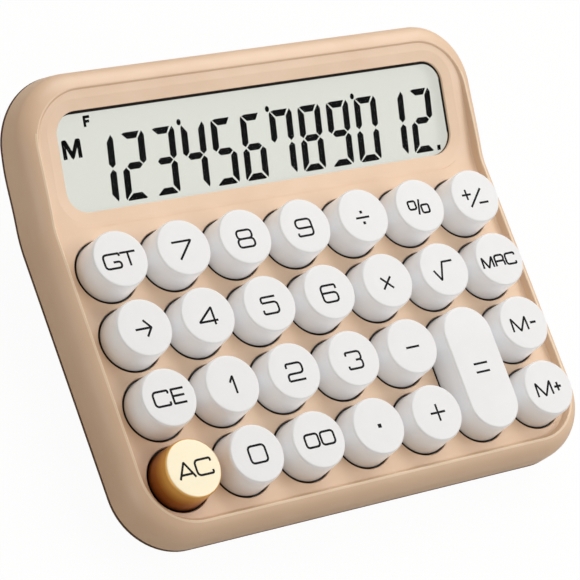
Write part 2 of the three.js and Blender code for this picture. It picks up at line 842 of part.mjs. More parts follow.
function bottomCover() {
  const lipInset = lowerEdgeInset + wall + fitGap;
  const floorInset = lipInset + lipThickness;
  const lipRadius = caseCornerRadius - wall;
  const tray = caseLoft([
    caseLevel(undersideInset, -undersideDepth, caseCornerRadius - undersideInset),
    caseLevel(bellyLowInset, -bellyLowDepth, caseCornerRadius - bellyLowInset),
    caseLevel(bellyHighInset, -bellyHighDepth, caseCornerRadius),
    caseLevel(seamInset, -seamDepth, caseCornerRadius),
    caseLevel(lipInset, -seamDepth, lipRadius),
    caseLevel(lipInset, -lipTop, lipRadius),
    caseLevel(floorInset, -lipTop, lipRadius - lipThickness),
    caseLevel(floorInset, -floorTop, lipRadius - lipThickness),
  ]).transform(deckMatrix.elements);
  const deep = standSpreadHeight + undersideDepth + cutOverrun;
  const under = caseLoft([
    caseLevel(undersideInset, -deep, caseCornerRadius - undersideInset),
    caseLevel(undersideInset, -(floorTop + undersideDepth) / 2, caseCornerRadius - undersideInset),
  ]).transform(deckMatrix.elements);
  const underRoom = caseLoft([
    caseLevel(undersideInset, -deep, caseCornerRadius - undersideInset),
    caseLevel(undersideInset, -floorTop + fitGap, caseCornerRadius - undersideInset),
  ]).transform(deckMatrix.elements);
  const standOuter = toSolid(loft([
    standLevel(footProud, 0),
    standLevel(footProud + 2 * standSpreadHeight, 0),
  ])).intersect(under);
  const roomLow = { ...standLevel(footProud + standFloor, standWall), front: standRoomFront };
  const roomHigh = { ...standLevel(footProud + 2 * standSpreadHeight, standWall), front: standRoomFront };
  const standRoom = toSolid(loft([roomLow, roomHigh])).intersect(underRoom);
  const above = toSolid(box(
    -caseHalfWidth,
    caseHalfWidth,
    2 * caseFront,
    2 * caseBack,
    footProud,
    footProud + 4 * standSpreadHeight,
  ));
  const towers = caseScrewPlaces.map((place) => pegAt(place, towerRadius, -deep, -towerTop, bossSides)
    .transform(deckMatrix.elements).intersect(above));
  const shafts = caseScrewPlaces.map((place) => pegAt(
    place,
    screwRadius + fitGap,
    -deep,
    -towerTop + cutOverrun,
    bossSides,
  ).transform(deckMatrix.elements));
  const counterbores = caseScrewPlaces.map((place) => pegAt(
    place,
    counterboreRadius,
    -deep,
    -screwShelfDepth,
    bossSides,
  ).transform(deckMatrix.elements));
  const roomShell = toSolid(box(
    -roomHalfLength - roomWall,
    roomHalfLength + roomWall,
    roomPlaceY - roomHalfWidth - roomWall,
    roomPlaceY + roomHalfWidth + roomWall,
    footProud,
    roomTop + roomWall,
  ));
  const doorFrame = toSolid(box(
    -roomHalfLength - doorMargin - doorPinReach - roomWall,
    roomHalfLength + doorMargin + doorPinReach + roomWall,
    roomPlaceY - roomHalfWidth - doorMargin - roomWall,
    roomPlaceY + roomHalfWidth + doorMargin + roomWall,
    footProud,
    footProud + doorThickness + roomWall,
  ));
  const roomHollow = toSolid(box(
    -roomHalfLength,
    roomHalfLength,
    roomPlaceY - roomHalfWidth,
    roomPlaceY + roomHalfWidth,
    footProud - cutOverrun,
    roomTop,
  ));
  const doorway = toSolid(box(
    -roomHalfLength - doorMargin - doorGap,
    roomHalfLength + doorMargin + doorGap,
    doorPinY - doorThickness / 2 - doorGap,
    doorBackY + doorGap,
    footProud - cutOverrun,
    footProud + doorThickness + doorGap,
  ));
  const pinSockets = toSolid(peg(
    doorThickness / 2 + doorPinGap,
    -roomHalfLength - doorMargin - doorPinReach - doorPinGap,
    roomHalfLength + doorMargin + doorPinReach + doorPinGap,
    doorPinSides,
  ).rotateY(Math.PI / 2).translate(0, doorPinY, doorPinZ));
  const tabSlots = contactPlaces.map((place) => toSolid(box(
    -roomHalfLength - roomWall - cutOverrun,
    -roomHalfLength + cutOverrun / 2,
    place.y - contactTabHalfWidth - fitGap,
    place.y + contactTabHalfWidth + fitGap,
    contactHeight + contactHalfHeight / 2 - contactThickness / 2 - fitGap,
    contactHeight + contactHalfHeight / 2 + contactThickness / 2 + fitGap,
  )));
  const footRecesses = footPlaces.map((place) => pegAt(
    place,
    footRadius + fitGap,
    footProud - cutOverrun,
    footProud + footSunk + fitGap,
    footSides,
  ));
  const shell = tray.add(standOuter).subtract(standRoom);
  const body = joinAll([shell, ...towers, roomShell, doorFrame]);
  const cutters = [
    ...shafts,
    ...counterbores,
    roomHollow,
    doorway,
    pinSockets,
    ...tabSlots,
    ...footRecesses,
  ];
  return mesh('bottom_cover', toGeometry(cutAll(body, cutters)), looks.beige());
}

// Battery door: a plate that swings down on two pins at its front edge
function batteryDoor() {
  const halfLength = roomHalfLength + doorMargin;
  const top = footProud + doorThickness;
  const slab = toSolid(box(-halfLength, halfLength, doorPinY, doorBackY, footProud, top));
  const pin = toSolid(peg(
    doorThickness / 2,
    -halfLength - doorPinReach,
    halfLength + doorPinReach,
    doorPinSides,
  ).rotateY(Math.PI / 2).translate(0, doorPinY, doorPinZ));
  const grips = [1, 2, 3].map((step) => toSolid(box(
    -doorGripWidth / 2,
    doorGripWidth / 2,
    doorBackY - step * doorGripStep - doorGripBreadth,
    doorBackY - step * doorGripStep,
    footProud - cutOverrun,
    footProud + doorGripDepth,
  )));
  return mesh('battery_door', toGeometry(cutAll(slab.add(pin), grips)), looks.beige());
}

// Cells and contacts
function cell(name, y, direction) {
  const half = cellLength / 2;
  const profile = [
    [0, -half],
    [cellRadius, -half],
    [cellRadius, half - cellNubHeight],
    [cellNubRadius, half - cellNubHeight],
    [cellNubRadius, half],
    [0, half],
  ];
  const geometry = turned(profile, cellSides).rotateY(direction * Math.PI / 2);
  const piece = mesh(name, geometry, looks.cell());
  piece.position.set(0, y, cellAxisHeight);
  return piece;
}

function contactPlate(side, y, halfWidth) {
  const outerFace = side * (roomHalfLength - fitGap);
  const innerFace = side * (roomHalfLength - fitGap - contactThickness);
  return toSolid(box(
    Math.min(outerFace, innerFace),
    Math.max(outerFace, innerFace),
    y - halfWidth,
    y + halfWidth,
    contactHeight - contactHalfHeight,
    contactHeight + contactHalfHeight,
  ));
}

function contactDimple(side, y) {
  const reach = roomEndSpace - 2 * fitGap;
  const profile = [[0, 0], [contactDimpleRadius, 0], [contactDimpleRadius / 2, reach], [0, reach]];
  const geometry = turned(profile, contactDimpleSides).rotateY(-side * Math.PI / 2);
  geometry.translate(side * (roomHalfLength - fitGap), y, contactHeight);
  return toSolid(geometry);
}

function contact(place) {
  const tab = toSolid(box(
    -roomHalfLength - roomWall - contactTabReach,
    -roomHalfLength + fitGap + contactThickness,
    place.y - contactTabHalfWidth,
    place.y + contactTabHalfWidth,
    contactHeight + contactHalfHeight / 2 - contactThickness / 2,
    contactHeight + contactHalfHeight / 2 + contactThickness / 2,
  ));
  const body = joinAll([
    contactPlate(-1, place.y, contactHalfWidth),
    contactDimple(-1, place.y),
    tab,
  ]);
  return mesh(place.name, toGeometry(body), looks.steel());
}

function bridgeContact() {
  const body = joinAll([
    contactPlate(1, roomPlaceY, cellOffset + contactHalfWidth),
    contactDimple(1, roomPlaceY - cellOffset),
    contactDimple(1, roomPlaceY + cellOffset),
  ]);
  return mesh('bridge_contact', toGeometry(body), looks.steel());
}

// Lead from a contact tab to the underside of the main board
function lead(name, place, boardPlaceX, material) {
  const tabTop = contactHeight + contactHalfHeight / 2 + contactThickness / 2;
  const start = new THREE.Vector3(-roomHalfLength - roomWall - contactTabReach, place.y, tabTop);
  start.z += fitGap + leadRadius;
  const end = new THREE.Vector3(boardPlaceX, leadBoardPlaceY, -boardBottom - fitGap).applyMatrix4(deckMatrix);
  const low = end.clone();
  low.z -= leadSag;
  const out = start.clone();
  out.x -= leadSag;
  const path = new THREE.CatmullRomCurve3([start, out, low, end]);
  const shape = new THREE.Shape();
  shape.absarc(0, 0, leadRadius, 0, 2 * Math.PI);
  const geometry = new THREE.ExtrudeGeometry(shape, {
    extrudePath: path,
    steps: leadSteps,
    curveSegments: leadSides,
    bevelEnabled: false,
  });
  return mesh(name, geometry, material);
}

// Feet: rubber discs let into the underside
function foot(place) {
  const profile = [
    [0, 0],
    [footRadius - footEdgeRound, 0],
    [footRadius, footEdgeRound],
    [footRadius, footProud + footSunk],
    [0, footProud + footSunk],
  ];
  const piece = mesh(place.name, turned(profile, footSides), looks.rubber());
  piece.position.set(place.x, place.y, 0);
  return piece;
}

const caseScrewSizes = {
  radius: screwRadius,
  headRadius: screwHeadRadius,
  headHeight: screwHeadHeight,
  tipDepth: screwTipDepth + fitGap,
};
const boardScrewSizes = {
  radius: boardScrewRadius,
  headRadius: boardScrewHeadRadius,
  headHeight: boardScrewHeadHeight,
  tipDepth: boardScrewTipDepth + fitGap,
};

const display = new THREE.Group();
display.add(displayLens(), lcdPanel(), lcdHolder());
display.rotation.x = displayTilt;
display.position.y = bendPlace;

const deck = new THREE.Group();
deck.add(topCover(), ...roundKeys.map(roundKey), longKey(), domeSheet(), mainBoard(), controllerChip());
deck.add(lcdRibbon(), display);
caseScrewPlaces.forEach((place, index) => {
  deck.add(screw(`case_screw_${index + 1}`, place, screwShelfDepth + fitGap, caseScrewSizes, looks.steel()));
});
boardScrewPlaces.forEach((place, index) => {
  deck.add(screw(`board_screw_${index + 1}`, place, boardBottom + fitGap, boardScrewSizes, looks.steel()));
});
deck.rotation.x = deckTilt;
deck.position.z = deckHeight;

const calculator = new THREE.Group();
calculator.add(deck, bottomCover(), batteryDoor(), ...footPlaces.map(foot));
calculator.add(cell('battery_front', roomPlaceY - cellOffset, -1));
calculator.add(cell('battery_back', roomPlaceY + cellOffset, 1));
calculator.add(...contactPlaces.map(contact), bridgeContact());
calculator.add(lead('positive_lead', contactPlaces[0], leadBoardPlaceX, looks.redLead()));
const blackLeadPlaceX = leadBoardPlaceX - leadBoardSpacing;
calculator.add(lead('negative_lead', contactPlaces[1], blackLeadPlaceX, looks.blackLead()));

// The origin is under the middle of the whole calculator, on the surface it stands on.
const extent = new THREE.Box3().setFromObject(calculator, true);
calculator.position.y = -(extent.min.y + extent.max.y) / 2;

export default calculator;
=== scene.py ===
"""The finished look of a desktop calculator with round keycaps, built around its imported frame.

Shapes are written in millimetres in the deck's own frame: X across, Y along the deck, Z out of it.
"""

import json
import math

import bmesh
import bpy
from mathutils import Matrix, Vector

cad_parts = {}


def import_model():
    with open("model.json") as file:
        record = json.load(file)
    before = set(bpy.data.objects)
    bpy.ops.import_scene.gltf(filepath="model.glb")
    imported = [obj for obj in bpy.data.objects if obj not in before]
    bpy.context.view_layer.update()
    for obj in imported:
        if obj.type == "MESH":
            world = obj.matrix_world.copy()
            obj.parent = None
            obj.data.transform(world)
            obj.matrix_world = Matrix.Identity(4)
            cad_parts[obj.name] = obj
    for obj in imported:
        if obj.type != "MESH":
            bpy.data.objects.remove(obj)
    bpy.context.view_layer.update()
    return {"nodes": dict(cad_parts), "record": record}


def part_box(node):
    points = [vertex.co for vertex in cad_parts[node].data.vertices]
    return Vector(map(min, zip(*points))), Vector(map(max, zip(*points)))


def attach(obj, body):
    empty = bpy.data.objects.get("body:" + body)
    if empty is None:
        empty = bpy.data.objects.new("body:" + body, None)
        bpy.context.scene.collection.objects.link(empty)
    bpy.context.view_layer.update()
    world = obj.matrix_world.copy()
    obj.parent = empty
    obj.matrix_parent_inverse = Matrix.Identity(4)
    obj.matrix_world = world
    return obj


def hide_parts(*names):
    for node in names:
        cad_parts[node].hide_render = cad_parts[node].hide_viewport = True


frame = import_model()
nodes = frame["nodes"]
MM = 0.001

# The case, in millimetres
DECK_TILT = math.radians(6)
DISPLAY_TILT = math.radians(19)
CASE_HALF_WIDTH = 76.5
CASE_FRONT = -47.1
CASE_CORNER = 18
DISPLAY_REACH = 41.5
BEND_PLACE = 44
BEND_RADIUS = 16
SIDE_DEPTH = 9.8
SIDE_DEPTH_FRONT = 9.6
SIDE_DEPTH_BACK = 10.7
SIDE_SWELL = 1.5
SIDE_SWELL_PLACE = 62
SIDE_SWELL_REACH = 10
WEDGE_REACH = 4.5
WALL = 2
FIT_GAP = 0.3
OVERRUN = 4

# How finely the case's outline is divided, and the room it keeps past a corner and beside the bend
CORNER_STEPS = 18
CORNER_SLACK = 4
BEND_STEPS = 10
BEND_LEAD = 1
BEND_TAIL = 2
SIDE_STEPS = 8

# The outer wall, from the upright place to the rim's crest
WALL_TURN = -4.5
WALL_POWER = 1.8
WALL_CREST = 0.79
WALL_STEPS = 12
LOWER_INSET = 0.35
LOWER_ROUND = 0.6

# The rim, its lower stretch round the display, and its crest
RIM_HEIGHT = 2.7
RIM_BACK_HEIGHT = 0.4
RIM_FALL_START = 45
RIM_FALL_END = 80
RIM_INSET = 4.2
RIM_FOOT_INSET = 5.2
RIM_DROP_START = 4.5
RIM_CORNER = 15
# Where the crest's painted highlight lies: how far in from the sides it runs at the display end, how far out
# and in of the crest, and the share of the rim's height above which it starts
CREST_REACH = 10
CREST_OUTER = 0.3
CREST_INNER = 0.4
CREST_SHARE = 0.9

# The deck and the keys
DECK_THICKNESS = 2
KEY_PITCH = 20
KEY_TOP = 9.25
KEY_TOP_RADIUS = 7.9
KEY_SHOULDER = 8.7
KEY_SHOULDER_RADIUS = 8.25
KEY_SKIRT_RADIUS = 8.8
KEY_FLANGE_RADIUS = 9.75
KEY_FLANGE_TOP = -2.3
KEY_FLANGE_LOW = -3.3
KEY_WALL = 1.6
KEY_EDGE_ROUND = 0.4
KEY_HOLE_RADIUS = 9.25
HOLE_EDGE_ROUND = 0.3
HOLE_EDGE_STEPS = 5
HOLE_EDGE_LOW = math.radians(84)
HOLE_EDGE_HIGH = math.radians(6)
LONG_KEY_SPAN = 20.4
KEY_SIDES = 96

# The window, its seal, which also paints shade, and the panel behind it
WINDOW_HALF_WIDTH = 65.2
WINDOW_FRONT = 3.2
WINDOW_BACK = 30.9
WINDOW_CORNER = 6.5
WINDOW_BEVEL_WIDTH = 3.2
WINDOW_BEVEL_DEPTH = 0.4
WINDOW_BEVEL_ROUND = 1.4
WINDOW_PLATE = 1.8
WINDOW_DARK_DEPTH = 1.05
PANEL_TOP = -3.7
SEAL_WIDTH = 1.6
SEAL_SUNK = 0.02
# How much of the seal shows at the back and at the right, where it is painted shade
SEAL_SHOWS_BACK = 0.75
SEAL_SHOWS_RIGHT = 0.02

# The bottom cover and its stand
UNDERSIDE_DEPTH = 15.4
UNDERSIDE_INSET = 4.8
FLOOR_THICKNESS = 1.8
SEAM_GAP = 0.3
SEAM_BAND = 0.7
SEAM_INSET = 0.03
SEAM_LOW = -SIDE_DEPTH - SEAM_BAND
LIP_HEIGHT = 1.8
LIP_THICKNESS = 1.2
FOOT_PROUD = 1.6
STAND_FRONT_DEPTH = 1
STAND_FRONT = -35
STAND_BACK = 75
STAND_HALF_WIDTH = 58
STAND_CORNER = 15
STAND_SPREAD = 6
STAND_SPREAD_HEIGHT = 24

# The battery room and its door
CELL_RADIUS = 5.2
CELL_LENGTH = 44.5
CELL_NUB_RADIUS = 1.9
CELL_NUB_HEIGHT = 1.0
CELL_GAP = 0.6
DOOR_THICKNESS = 1.8
DOOR_MARGIN = 2
DOOR_GAP = 0.4
DOOR_CORNER = 0.8
DOOR_PIN_REACH = 1.6
DOOR_PIN_GAP = 0.3
MOUTH_CHAMFER = 0.4
ROOM_PLACE_Y = 57.5
ROOM_WALL = 1.5
ROOM_END_SPACE = 2.4
ROOM_HALF_LENGTH = CELL_LENGTH / 2 + ROOM_END_SPACE
ROOM_HALF_WIDTH = 2 * CELL_RADIUS + 1.5 * CELL_GAP
ROOM_FLOOR = FOOT_PROUD + DOOR_THICKNESS + CELL_GAP
ROOM_TOP = ROOM_FLOOR + 2 * CELL_RADIUS + CELL_GAP
DOOR_FRONT = ROOM_PLACE_Y - ROOM_HALF_WIDTH - DOOR_MARGIN
DOOR_BACK = ROOM_PLACE_Y + ROOM_HALF_WIDTH + DOOR_MARGIN

# The feet and the case screws
FOOT_RADIUS = 6
FOOT_SUNK = 1
FOOT_PLACES = {
    "front_left": (-46, -22), "front_right": (46, -22), "back_left": (-46, 64), "back_right": (46, 64),
}
SCREW_PLACES = ((-50, 20), (50, 20), (-10, -20), (10, -20))
SCREW_HEAD_RADIUS = 2.6
SCREW_HEAD_HEIGHT = 1.6
SCREW_SHANK_RADIUS = 1.1
COUNTERBORE_RADIUS = 3
SHELF_DEPTH = 14.2

# Places worked out from the sizes above
BEND_HALF = BEND_RADIUS * math.tan(DISPLAY_TILT / 2)
BEND_START = BEND_PLACE - BEND_HALF
BEND_END = BEND_START + BEND_RADIUS * DISPLAY_TILT
CASE_BACK = BEND_END - BEND_HALF + DISPLAY_REACH
STAND_DROP = -STAND_FRONT * math.sin(DECK_TILT) + UNDERSIDE_DEPTH * math.cos(DECK_TILT)
DECK_HEIGHT = FOOT_PROUD + STAND_FRONT_DEPTH + STAND_DROP
FOOT_LOW, FOOT_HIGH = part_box("foot_front_left")
SHIFT_Y = ((FOOT_LOW + FOOT_HIGH) / 2).y / MM - FOOT_PLACES["front_left"][1]
GROUND = Matrix.Translation((0, SHIFT_Y, 0))
DECK = GROUND @ Matrix.Translation((0, 0, DECK_HEIGHT)) @ Matrix.Rotation(DECK_TILT, 4, "X")
DISPLAY = DECK @ Matrix.Translation((0, BEND_PLACE, 0)) @ Matrix.Rotation(DISPLAY_TILT, 4, "X")


# Shapes, each a list of points and a list of faces

SMOOTH_ANGLE = math.radians(32)
BEVEL_ANGLE = math.radians(40)
FACE_WEIGHT = 80
ROUNDING_SHARE = 0.48
WELD_DISTANCE = 0.001
FLAT_ANGLE = math.radians(1)


def ease(value, start, end):
    """A smooth step from 0 at the start to 1 at the end."""
    share = min(max((value - start) / (end - start), 0), 1)
    return share * share * (3 - 2 * share)


def spread(start, end, steps):
    return [start + (end - start) * step / steps for step in range(steps + 1)]


def bent(x, along, up):
    """A point of the flat case on the bent one."""
    if along <= BEND_START:
        return Vector((x, along, up))
    turn = min((along - BEND_START) / BEND_RADIUS, DISPLAY_TILT)
    past = max(along - BEND_END, 0)
    radius = BEND_RADIUS - up
    y = BEND_START + radius * math.sin(turn) + past * math.cos(DISPLAY_TILT)
    z = BEND_RADIUS - radius * math.cos(turn) + past * math.sin(DISPLAY_TILT)
    return Vector((x, y, z))


def unbent(point):
    """The flat case's (along, up) of a point on the bent one, and the way up there."""
    y, up = point.y - BEND_START, BEND_RADIUS - point.z
    turn = min(max(math.atan2(y, up), 0), DISPLAY_TILT)
    rise = Vector((0, -math.sin(turn), math.cos(turn)))
    if turn == 0:
        return point.y, point.z, rise
    if turn < DISPLAY_TILT:
        return BEND_START + BEND_RADIUS * turn, BEND_RADIUS - math.hypot(y, up), rise
    along = BEND_END + y * math.cos(turn) - up * math.sin(turn)
    return along, BEND_RADIUS - y * math.sin(turn) - up * math.cos(turn), rise


def ring(half_width, front, back, radius, breaks=(), corner_steps=CORNER_STEPS):
    """A rounded outline as (x, along) points, counter-clockwise from the front left corner's end."""
    turns = [(1 - math.sin(angle), 1 - math.cos(angle)) for angle in spread(0, math.pi / 2, corner_steps)]
    right = [(half_width - radius * across, front + radius * on) for across, on in turns]
    right += [(half_width, along) for along in breaks]
    right += [(half_width - radius * across, back - radius * on) for on, across in turns]
    return right + [(-x, along) for x, along in reversed(right)]


def case_ring(inset, height, radius=None):
    """The case's outline at a height, moved inwards by the inset."""
    if radius is None:
        radius = CASE_CORNER - inset
    breaks = spread(CASE_FRONT + CASE_CORNER + CORNER_SLACK, BEND_START - BEND_LEAD, SIDE_STEPS)
    breaks += spread(BEND_START, BEND_END, BEND_STEPS)
    breaks += spread(BEND_END + BEND_TAIL, CASE_BACK - CASE_CORNER - CORNER_SLACK, SIDE_STEPS)
    outline = ring(CASE_HALF_WIDTH - inset, CASE_FRONT + inset, CASE_BACK - inset, radius, breaks)
    return outline, height


def window_ring(grow):
    """The window's outline, moved outwards."""
    return ring(WINDOW_HALF_WIDTH + grow, WINDOW_FRONT - grow, WINDOW_BACK + grow, WINDOW_CORNER + grow)


def loft(rings, place=lambda *spot: Vector(spot), tube=False):
    """A closed shape through rings of (outline, height), where height is a number or a function of along.

    The ends are filled, or joined to each other for a tube.
    """
    count = len(rings[0][0])
    points = [
        place(x, along, height(along) if callable(height) else height)
        for outline, height in rings
        for x, along in outline
    ]
    faces = []
    for level in range(len(rings) - (0 if tube else 1)):
        faces += band(level * count, (level + 1) % len(rings) * count, count)
    for base in () if tube else (0, (len(rings) - 1) * count):
        for spot in range(count // 2 - 1):
            faces.append((base + spot, base + spot + 1, base + count - 2 - spot, base + count - 1 - spot))
    return points, faces


def band(low, high, count):
    """The faces between two closed rings of count points, which start at the numbers low and high."""
    ends = [(spot, (spot + 1) % count) for spot in range(count)]
    return [(low + spot, low + after, high + after, high + spot) for spot, after in ends]


def turned(profile, span=0.0, sides=KEY_SIDES):
    """A closed shape round the Z axis, or round a straight run of length span along Y."""
    points, faces = [], []
    for radius, height in profile:
        for side in range(sides):
            angle = 2 * math.pi * (side + 0.5) / sides
            y = radius * math.sin(angle)
            points.append(Vector((radius * math.cos(angle), y + math.copysign(span / 2, y), height)))
    for level in range(len(profile) - 1):
        faces += band(level * sides, (level + 1) * sides, sides)
    faces.append(tuple(range(sides)))
    faces.append(tuple(range((len(profile) - 1) * sides, len(profile) * sides)))
    return points, faces


def slab(outline, low, high):
    """A flat prism over an outline."""
    count = len(outline)
    points = [Vector((x, y, up)) for up in (low, high) for x, y in outline]
    return points, [tuple(range(count)), tuple(range(count, 2 * count))] + band(0, count, count)


def block(low, high):
    """A plain box between two corners."""
    (left, front, bottom), (right, back, top) = low, high
    return slab([(left, front), (right, front), (right, back), (left, back)], bottom, top)


def rounded_path(corners, radius, steps):
    """A path through the corners, with each turn rounded and its two ends kept."""
    points = [Vector(corner) for corner in corners]
    result = [points[0]]
    for before, corner, after in zip(points, points[1:], points[2:]):
        back, on = before - corner, after - corner
        room = min(back.length, on.length) * ROUNDING_SHARE
        reach = min(radius / math.tan(back.angle(on) / 2), room)
        start, end = corner + back.normalized() * reach, corner + on.normalized() * reach
        for share in spread(0, 1, steps):
            result.append(start.lerp(corner, share).lerp(corner.lerp(end, share), share))
    return result + [points[-1]]


def moved(shape, matrix):
    points, faces = shape
    return [matrix @ point for point in points], faces


def joined(shapes):
    points, faces = [], []
    for more_points, more_faces in shapes:
        faces += [tuple(index + len(points) for index in face) for face in more_faces]
        points += more_points
    return points, faces


# Objects


def at(x, y):
    return Matrix.Translation((x, y, 0))


def in_metres(matrix):
    made = matrix.copy()
    made.translation = matrix.translation * MM
    return made


def new_object(name, data):
    obj = bpy.data.objects.new(name, data)
    bpy.context.scene.collection.objects.link(obj)
    return obj


def to_object(name, shape, matrix=DECK):
    """A mesh object from a shape in millimetres, placed in the scene in metres."""
    points, faces = shape
    mesh = bpy.data.meshes.new(name)
    mesh.from_pydata([tuple((matrix @ point) * MM) for point in points], [], faces)
    made = bmesh.new()
    made.from_mesh(mesh)
    bmesh.ops.recalc_face_normals(made, faces=made.faces)
    made.to_mesh(mesh)
    made.free()
    return new_object(name, mesh)


def settle(obj):
    """Applies the object's modifiers to its mesh."""
    bpy.context.view_layer.update()
    evaluated = obj.evaluated_get(bpy.context.evaluated_depsgraph_get())
    mesh = bpy.data.meshes.new_from_object(evaluated)
    obj.modifiers.clear()
    old = obj.data
    obj.data = mesh
    bpy.data.meshes.remove(old)
    return obj


def combine(obj, operation, other):
    """Cuts the other object out, adds it or keeps only what both fill."""
    modifier = obj.modifiers.new("combine", "BOOLEAN")
    modifier.operation = operation
    modifier.solver = "EXACT"
    modifier.object = other
    settle(obj)
    bpy.data.objects.remove(other)


def cut(obj, shape, matrix=DECK):
    combine(obj, "DIFFERENCE", to_object("cutter", shape, matrix))


def smooth(obj):
    """Smooth shading with sharp edges kept, and flat faces kept flat."""
    obj.data.shade_smooth()
    obj.data.set_sharp_from_angle(angle=SMOOTH_ANGLE)
    modifier = obj.modifiers.new("even", "WEIGHTED_NORMAL")
    modifier.keep_sharp = True
    modifier.weight = FACE_WEIGHT
    return settle(obj)


def bevel(obj, width):
    modifier = obj.modifiers.new("edges", "BEVEL")
    modifier.width = width * MM
    modifier.segments = 3
    modifier.limit_method = "ANGLE"
    modifier.angle_limit = BEVEL_ANGLE
    modifier.use_clamp_overlap = True
    return settle(obj)


def copy_of(node, name, edge):
    """A piece of a node's own shape with its edges rounded."""
    obj = new_object(name, nodes[node].data.copy())
    made = bmesh.new()
    made.from_mesh(obj.data)
    bmesh.ops.remove_doubles(made, verts=made.verts, dist=WELD_DISTANCE * MM)
    bmesh.ops.dissolve_limit(made, angle_limit=FLAT_ANGLE, verts=made.verts, edges=made.edges)
    bmesh.ops.recalc_face_normals(made, faces=made.faces)
    made.to_mesh(obj.data)
    made.free()
    return smooth(bevel(obj, edge))


# Materials. Colours are given by their 0 to 255 screen values.

GRAIN_ROUGHNESS = 0.65
WINDOW_MIRROR_IOR = 1.07
# The display's face glows so that it stays evenly bright: painted light.
LCD_PAINTED_GLOW = 0.81
# The keys' side glow and the heights where it fades: painted light.
KEY_GLOW = 0.13
KEY_GLOW_TOP = KEY_TOP - 0.1
KEY_GLOW_FULL_HEIGHT = 6


def colour(red, green, blue):
    def linear(value):
        value /= 255
        return value / 12.92 if value <= 0.04045 else ((value + 0.055) / 1.055) ** 2.4
    return linear(red), linear(green), linear(blue), 1


def feed(tree, socket, value):
    """Links the socket to an output, or sets it to a plain value."""
    if isinstance(value, bpy.types.NodeSocket):
        tree.links.new(value, socket)
    else:
        socket.default_value = value


def add_node(tree, kind, result, inputs, **settings):
    """The named output of a new node, with its inputs fed by name or by number."""
    node = tree.nodes.new("ShaderNode" + kind)
    for name, value in settings.items():
        setattr(node, name, value)
    for name, value in inputs.items():
        feed(tree, node.inputs[name], value)
    return node.outputs[result]


class Look:
    """A material and short ways to add its nodes."""

    def __init__(self, name):
        self.material = bpy.data.materials.new(name)
        self.material.use_nodes = True
        self.tree = self.material.node_tree
        self.shader = self.tree.nodes["Principled BSDF"]
        self.where = self.add("TexCoord", "Object", {})

    def add(self, kind, result, inputs, **settings):
        return add_node(self.tree, kind, result, inputs, **settings)

    def set(self, **values):
        """Feeds the shader's inputs. An underscore stands for a space in their names."""
        for name, value in values.items():
            feed(self.tree, self.shader.inputs[name.replace("_", " ")], value)

    def noise(self, size_mm, detail, rough=0.5):
        return self.add("TexNoise", "Fac", {
            "Vector": self.where, "Scale": 1 / (size_mm * MM), "Detail": detail, "Roughness": rough,
        })

    def ramp(self, source, low, high):
        """A colour between low and high, over the middle of the source's range."""
        result = self.add("ValToRGB", "Color", {"Fac": source})
        for stop, place, shade in zip(result.node.color_ramp.elements, (0.3, 0.7), (low, high)):
            stop.position = place
            stop.color = colour(*shade)
        return result

    def span(self, source, low, high):
        """A number between low and high, over the middle of the source's range."""
        return self.add("MapRange", "Result", {
            "Value": source, "From Min": 0.25, "From Max": 0.75, "To Min": low, "To Max": high,
        })

    def times(self, first, second):
        return self.add("Math", "Value", {0: first, 1: second}, operation="MULTIPLY")

    def bump(self, source, height_mm, strength, **under):
        """Relief on the surface, over the Normal under it where one is given."""
        relief = {"Height": source, "Distance": height_mm * MM, "Strength": strength, **under}
        result = self.add("Bump", "Normal", relief)
        self.set(Normal=result)
        return result

    def mixed(self, share, first, second):
        return self.add("MixShader", "Shader", {0: share, 1: first, 2: second})

    def show(self, surface):
        feed(self.tree, self.tree.nodes["Material Output"].inputs["Surface"], surface)


def moulded(name, low, high, rough, grain_mm, grain_height=0.012, patch_mm=26, gloss=0.5):
    """Moulded plastic: a fine eroded grain, slow colour drift and uneven roughness."""
    look = Look(name)
    slow = look.bump(look.noise(patch_mm / 3, 1), grain_height * 0.8, 0.25)
    look.bump(look.noise(grain_mm, 3, GRAIN_ROUGHNESS), grain_height, 0.6, Normal=slow)
    look.set(
        Base_Color=look.ramp(look.noise(patch_mm, 3), low, high),
        Roughness=look.span(look.noise(patch_mm / 5, 4), rough - 0.05, rough + 0.05),
        Specular_IOR_Level=gloss,
    )
    return look.material


def metal(name, low, high, rough):
    """Metal with a fine grain and uneven polish."""
    look = Look(name)
    grain = look.noise(0.3, 4)
    look.bump(grain, 0.003, 0.4)
    look.set(
        Base_Color=look.ramp(look.noise(6, 3), low, high),
        Roughness=look.span(grain, rough - 0.06, rough + 0.06),
        Metallic=1.0,
    )
    return look.material


def by_height(look, height, bands):
    """A colour that goes from band to band, each given as a height over the deck and a colour."""
    low, high = KEY_FLANGE_LOW, KEY_TOP + 1
    share = look.add("MapRange", "Result", {"Value": height, "From Min": low * MM, "From Max": high * MM})
    result = look.add("ValToRGB", "Color", {"Fac": share})
    stops = result.node.color_ramp.elements
    stops.remove(stops[0])
    for index, (up, shade) in enumerate(bands):
        place = (up - low) / (high - low)
        stop = stops.new(place) if index else stops[0]
        stop.position = place
        stop.color = colour(*shade)
    return result


def paint_side_glow(look, height, glow):
    """A painted glow on a cap's thin wall, standing in for light: most at the shoulder, none at the foot and
    on the top.
    """
    shoulder = look.add("MapRange", "Result", {
        "Value": height, "From Min": KEY_GLOW_TOP * MM, "From Max": KEY_SHOULDER * MM, "To Max": glow,
    })
    foot = look.add("MapRange", "Result", {"Value": height, "From Max": KEY_GLOW_FULL_HEIGHT * MM})
    look.set(Emission_Color=(1, 0.98, 0.95, 1), Emission_Strength=look.times(shoulder, foot))


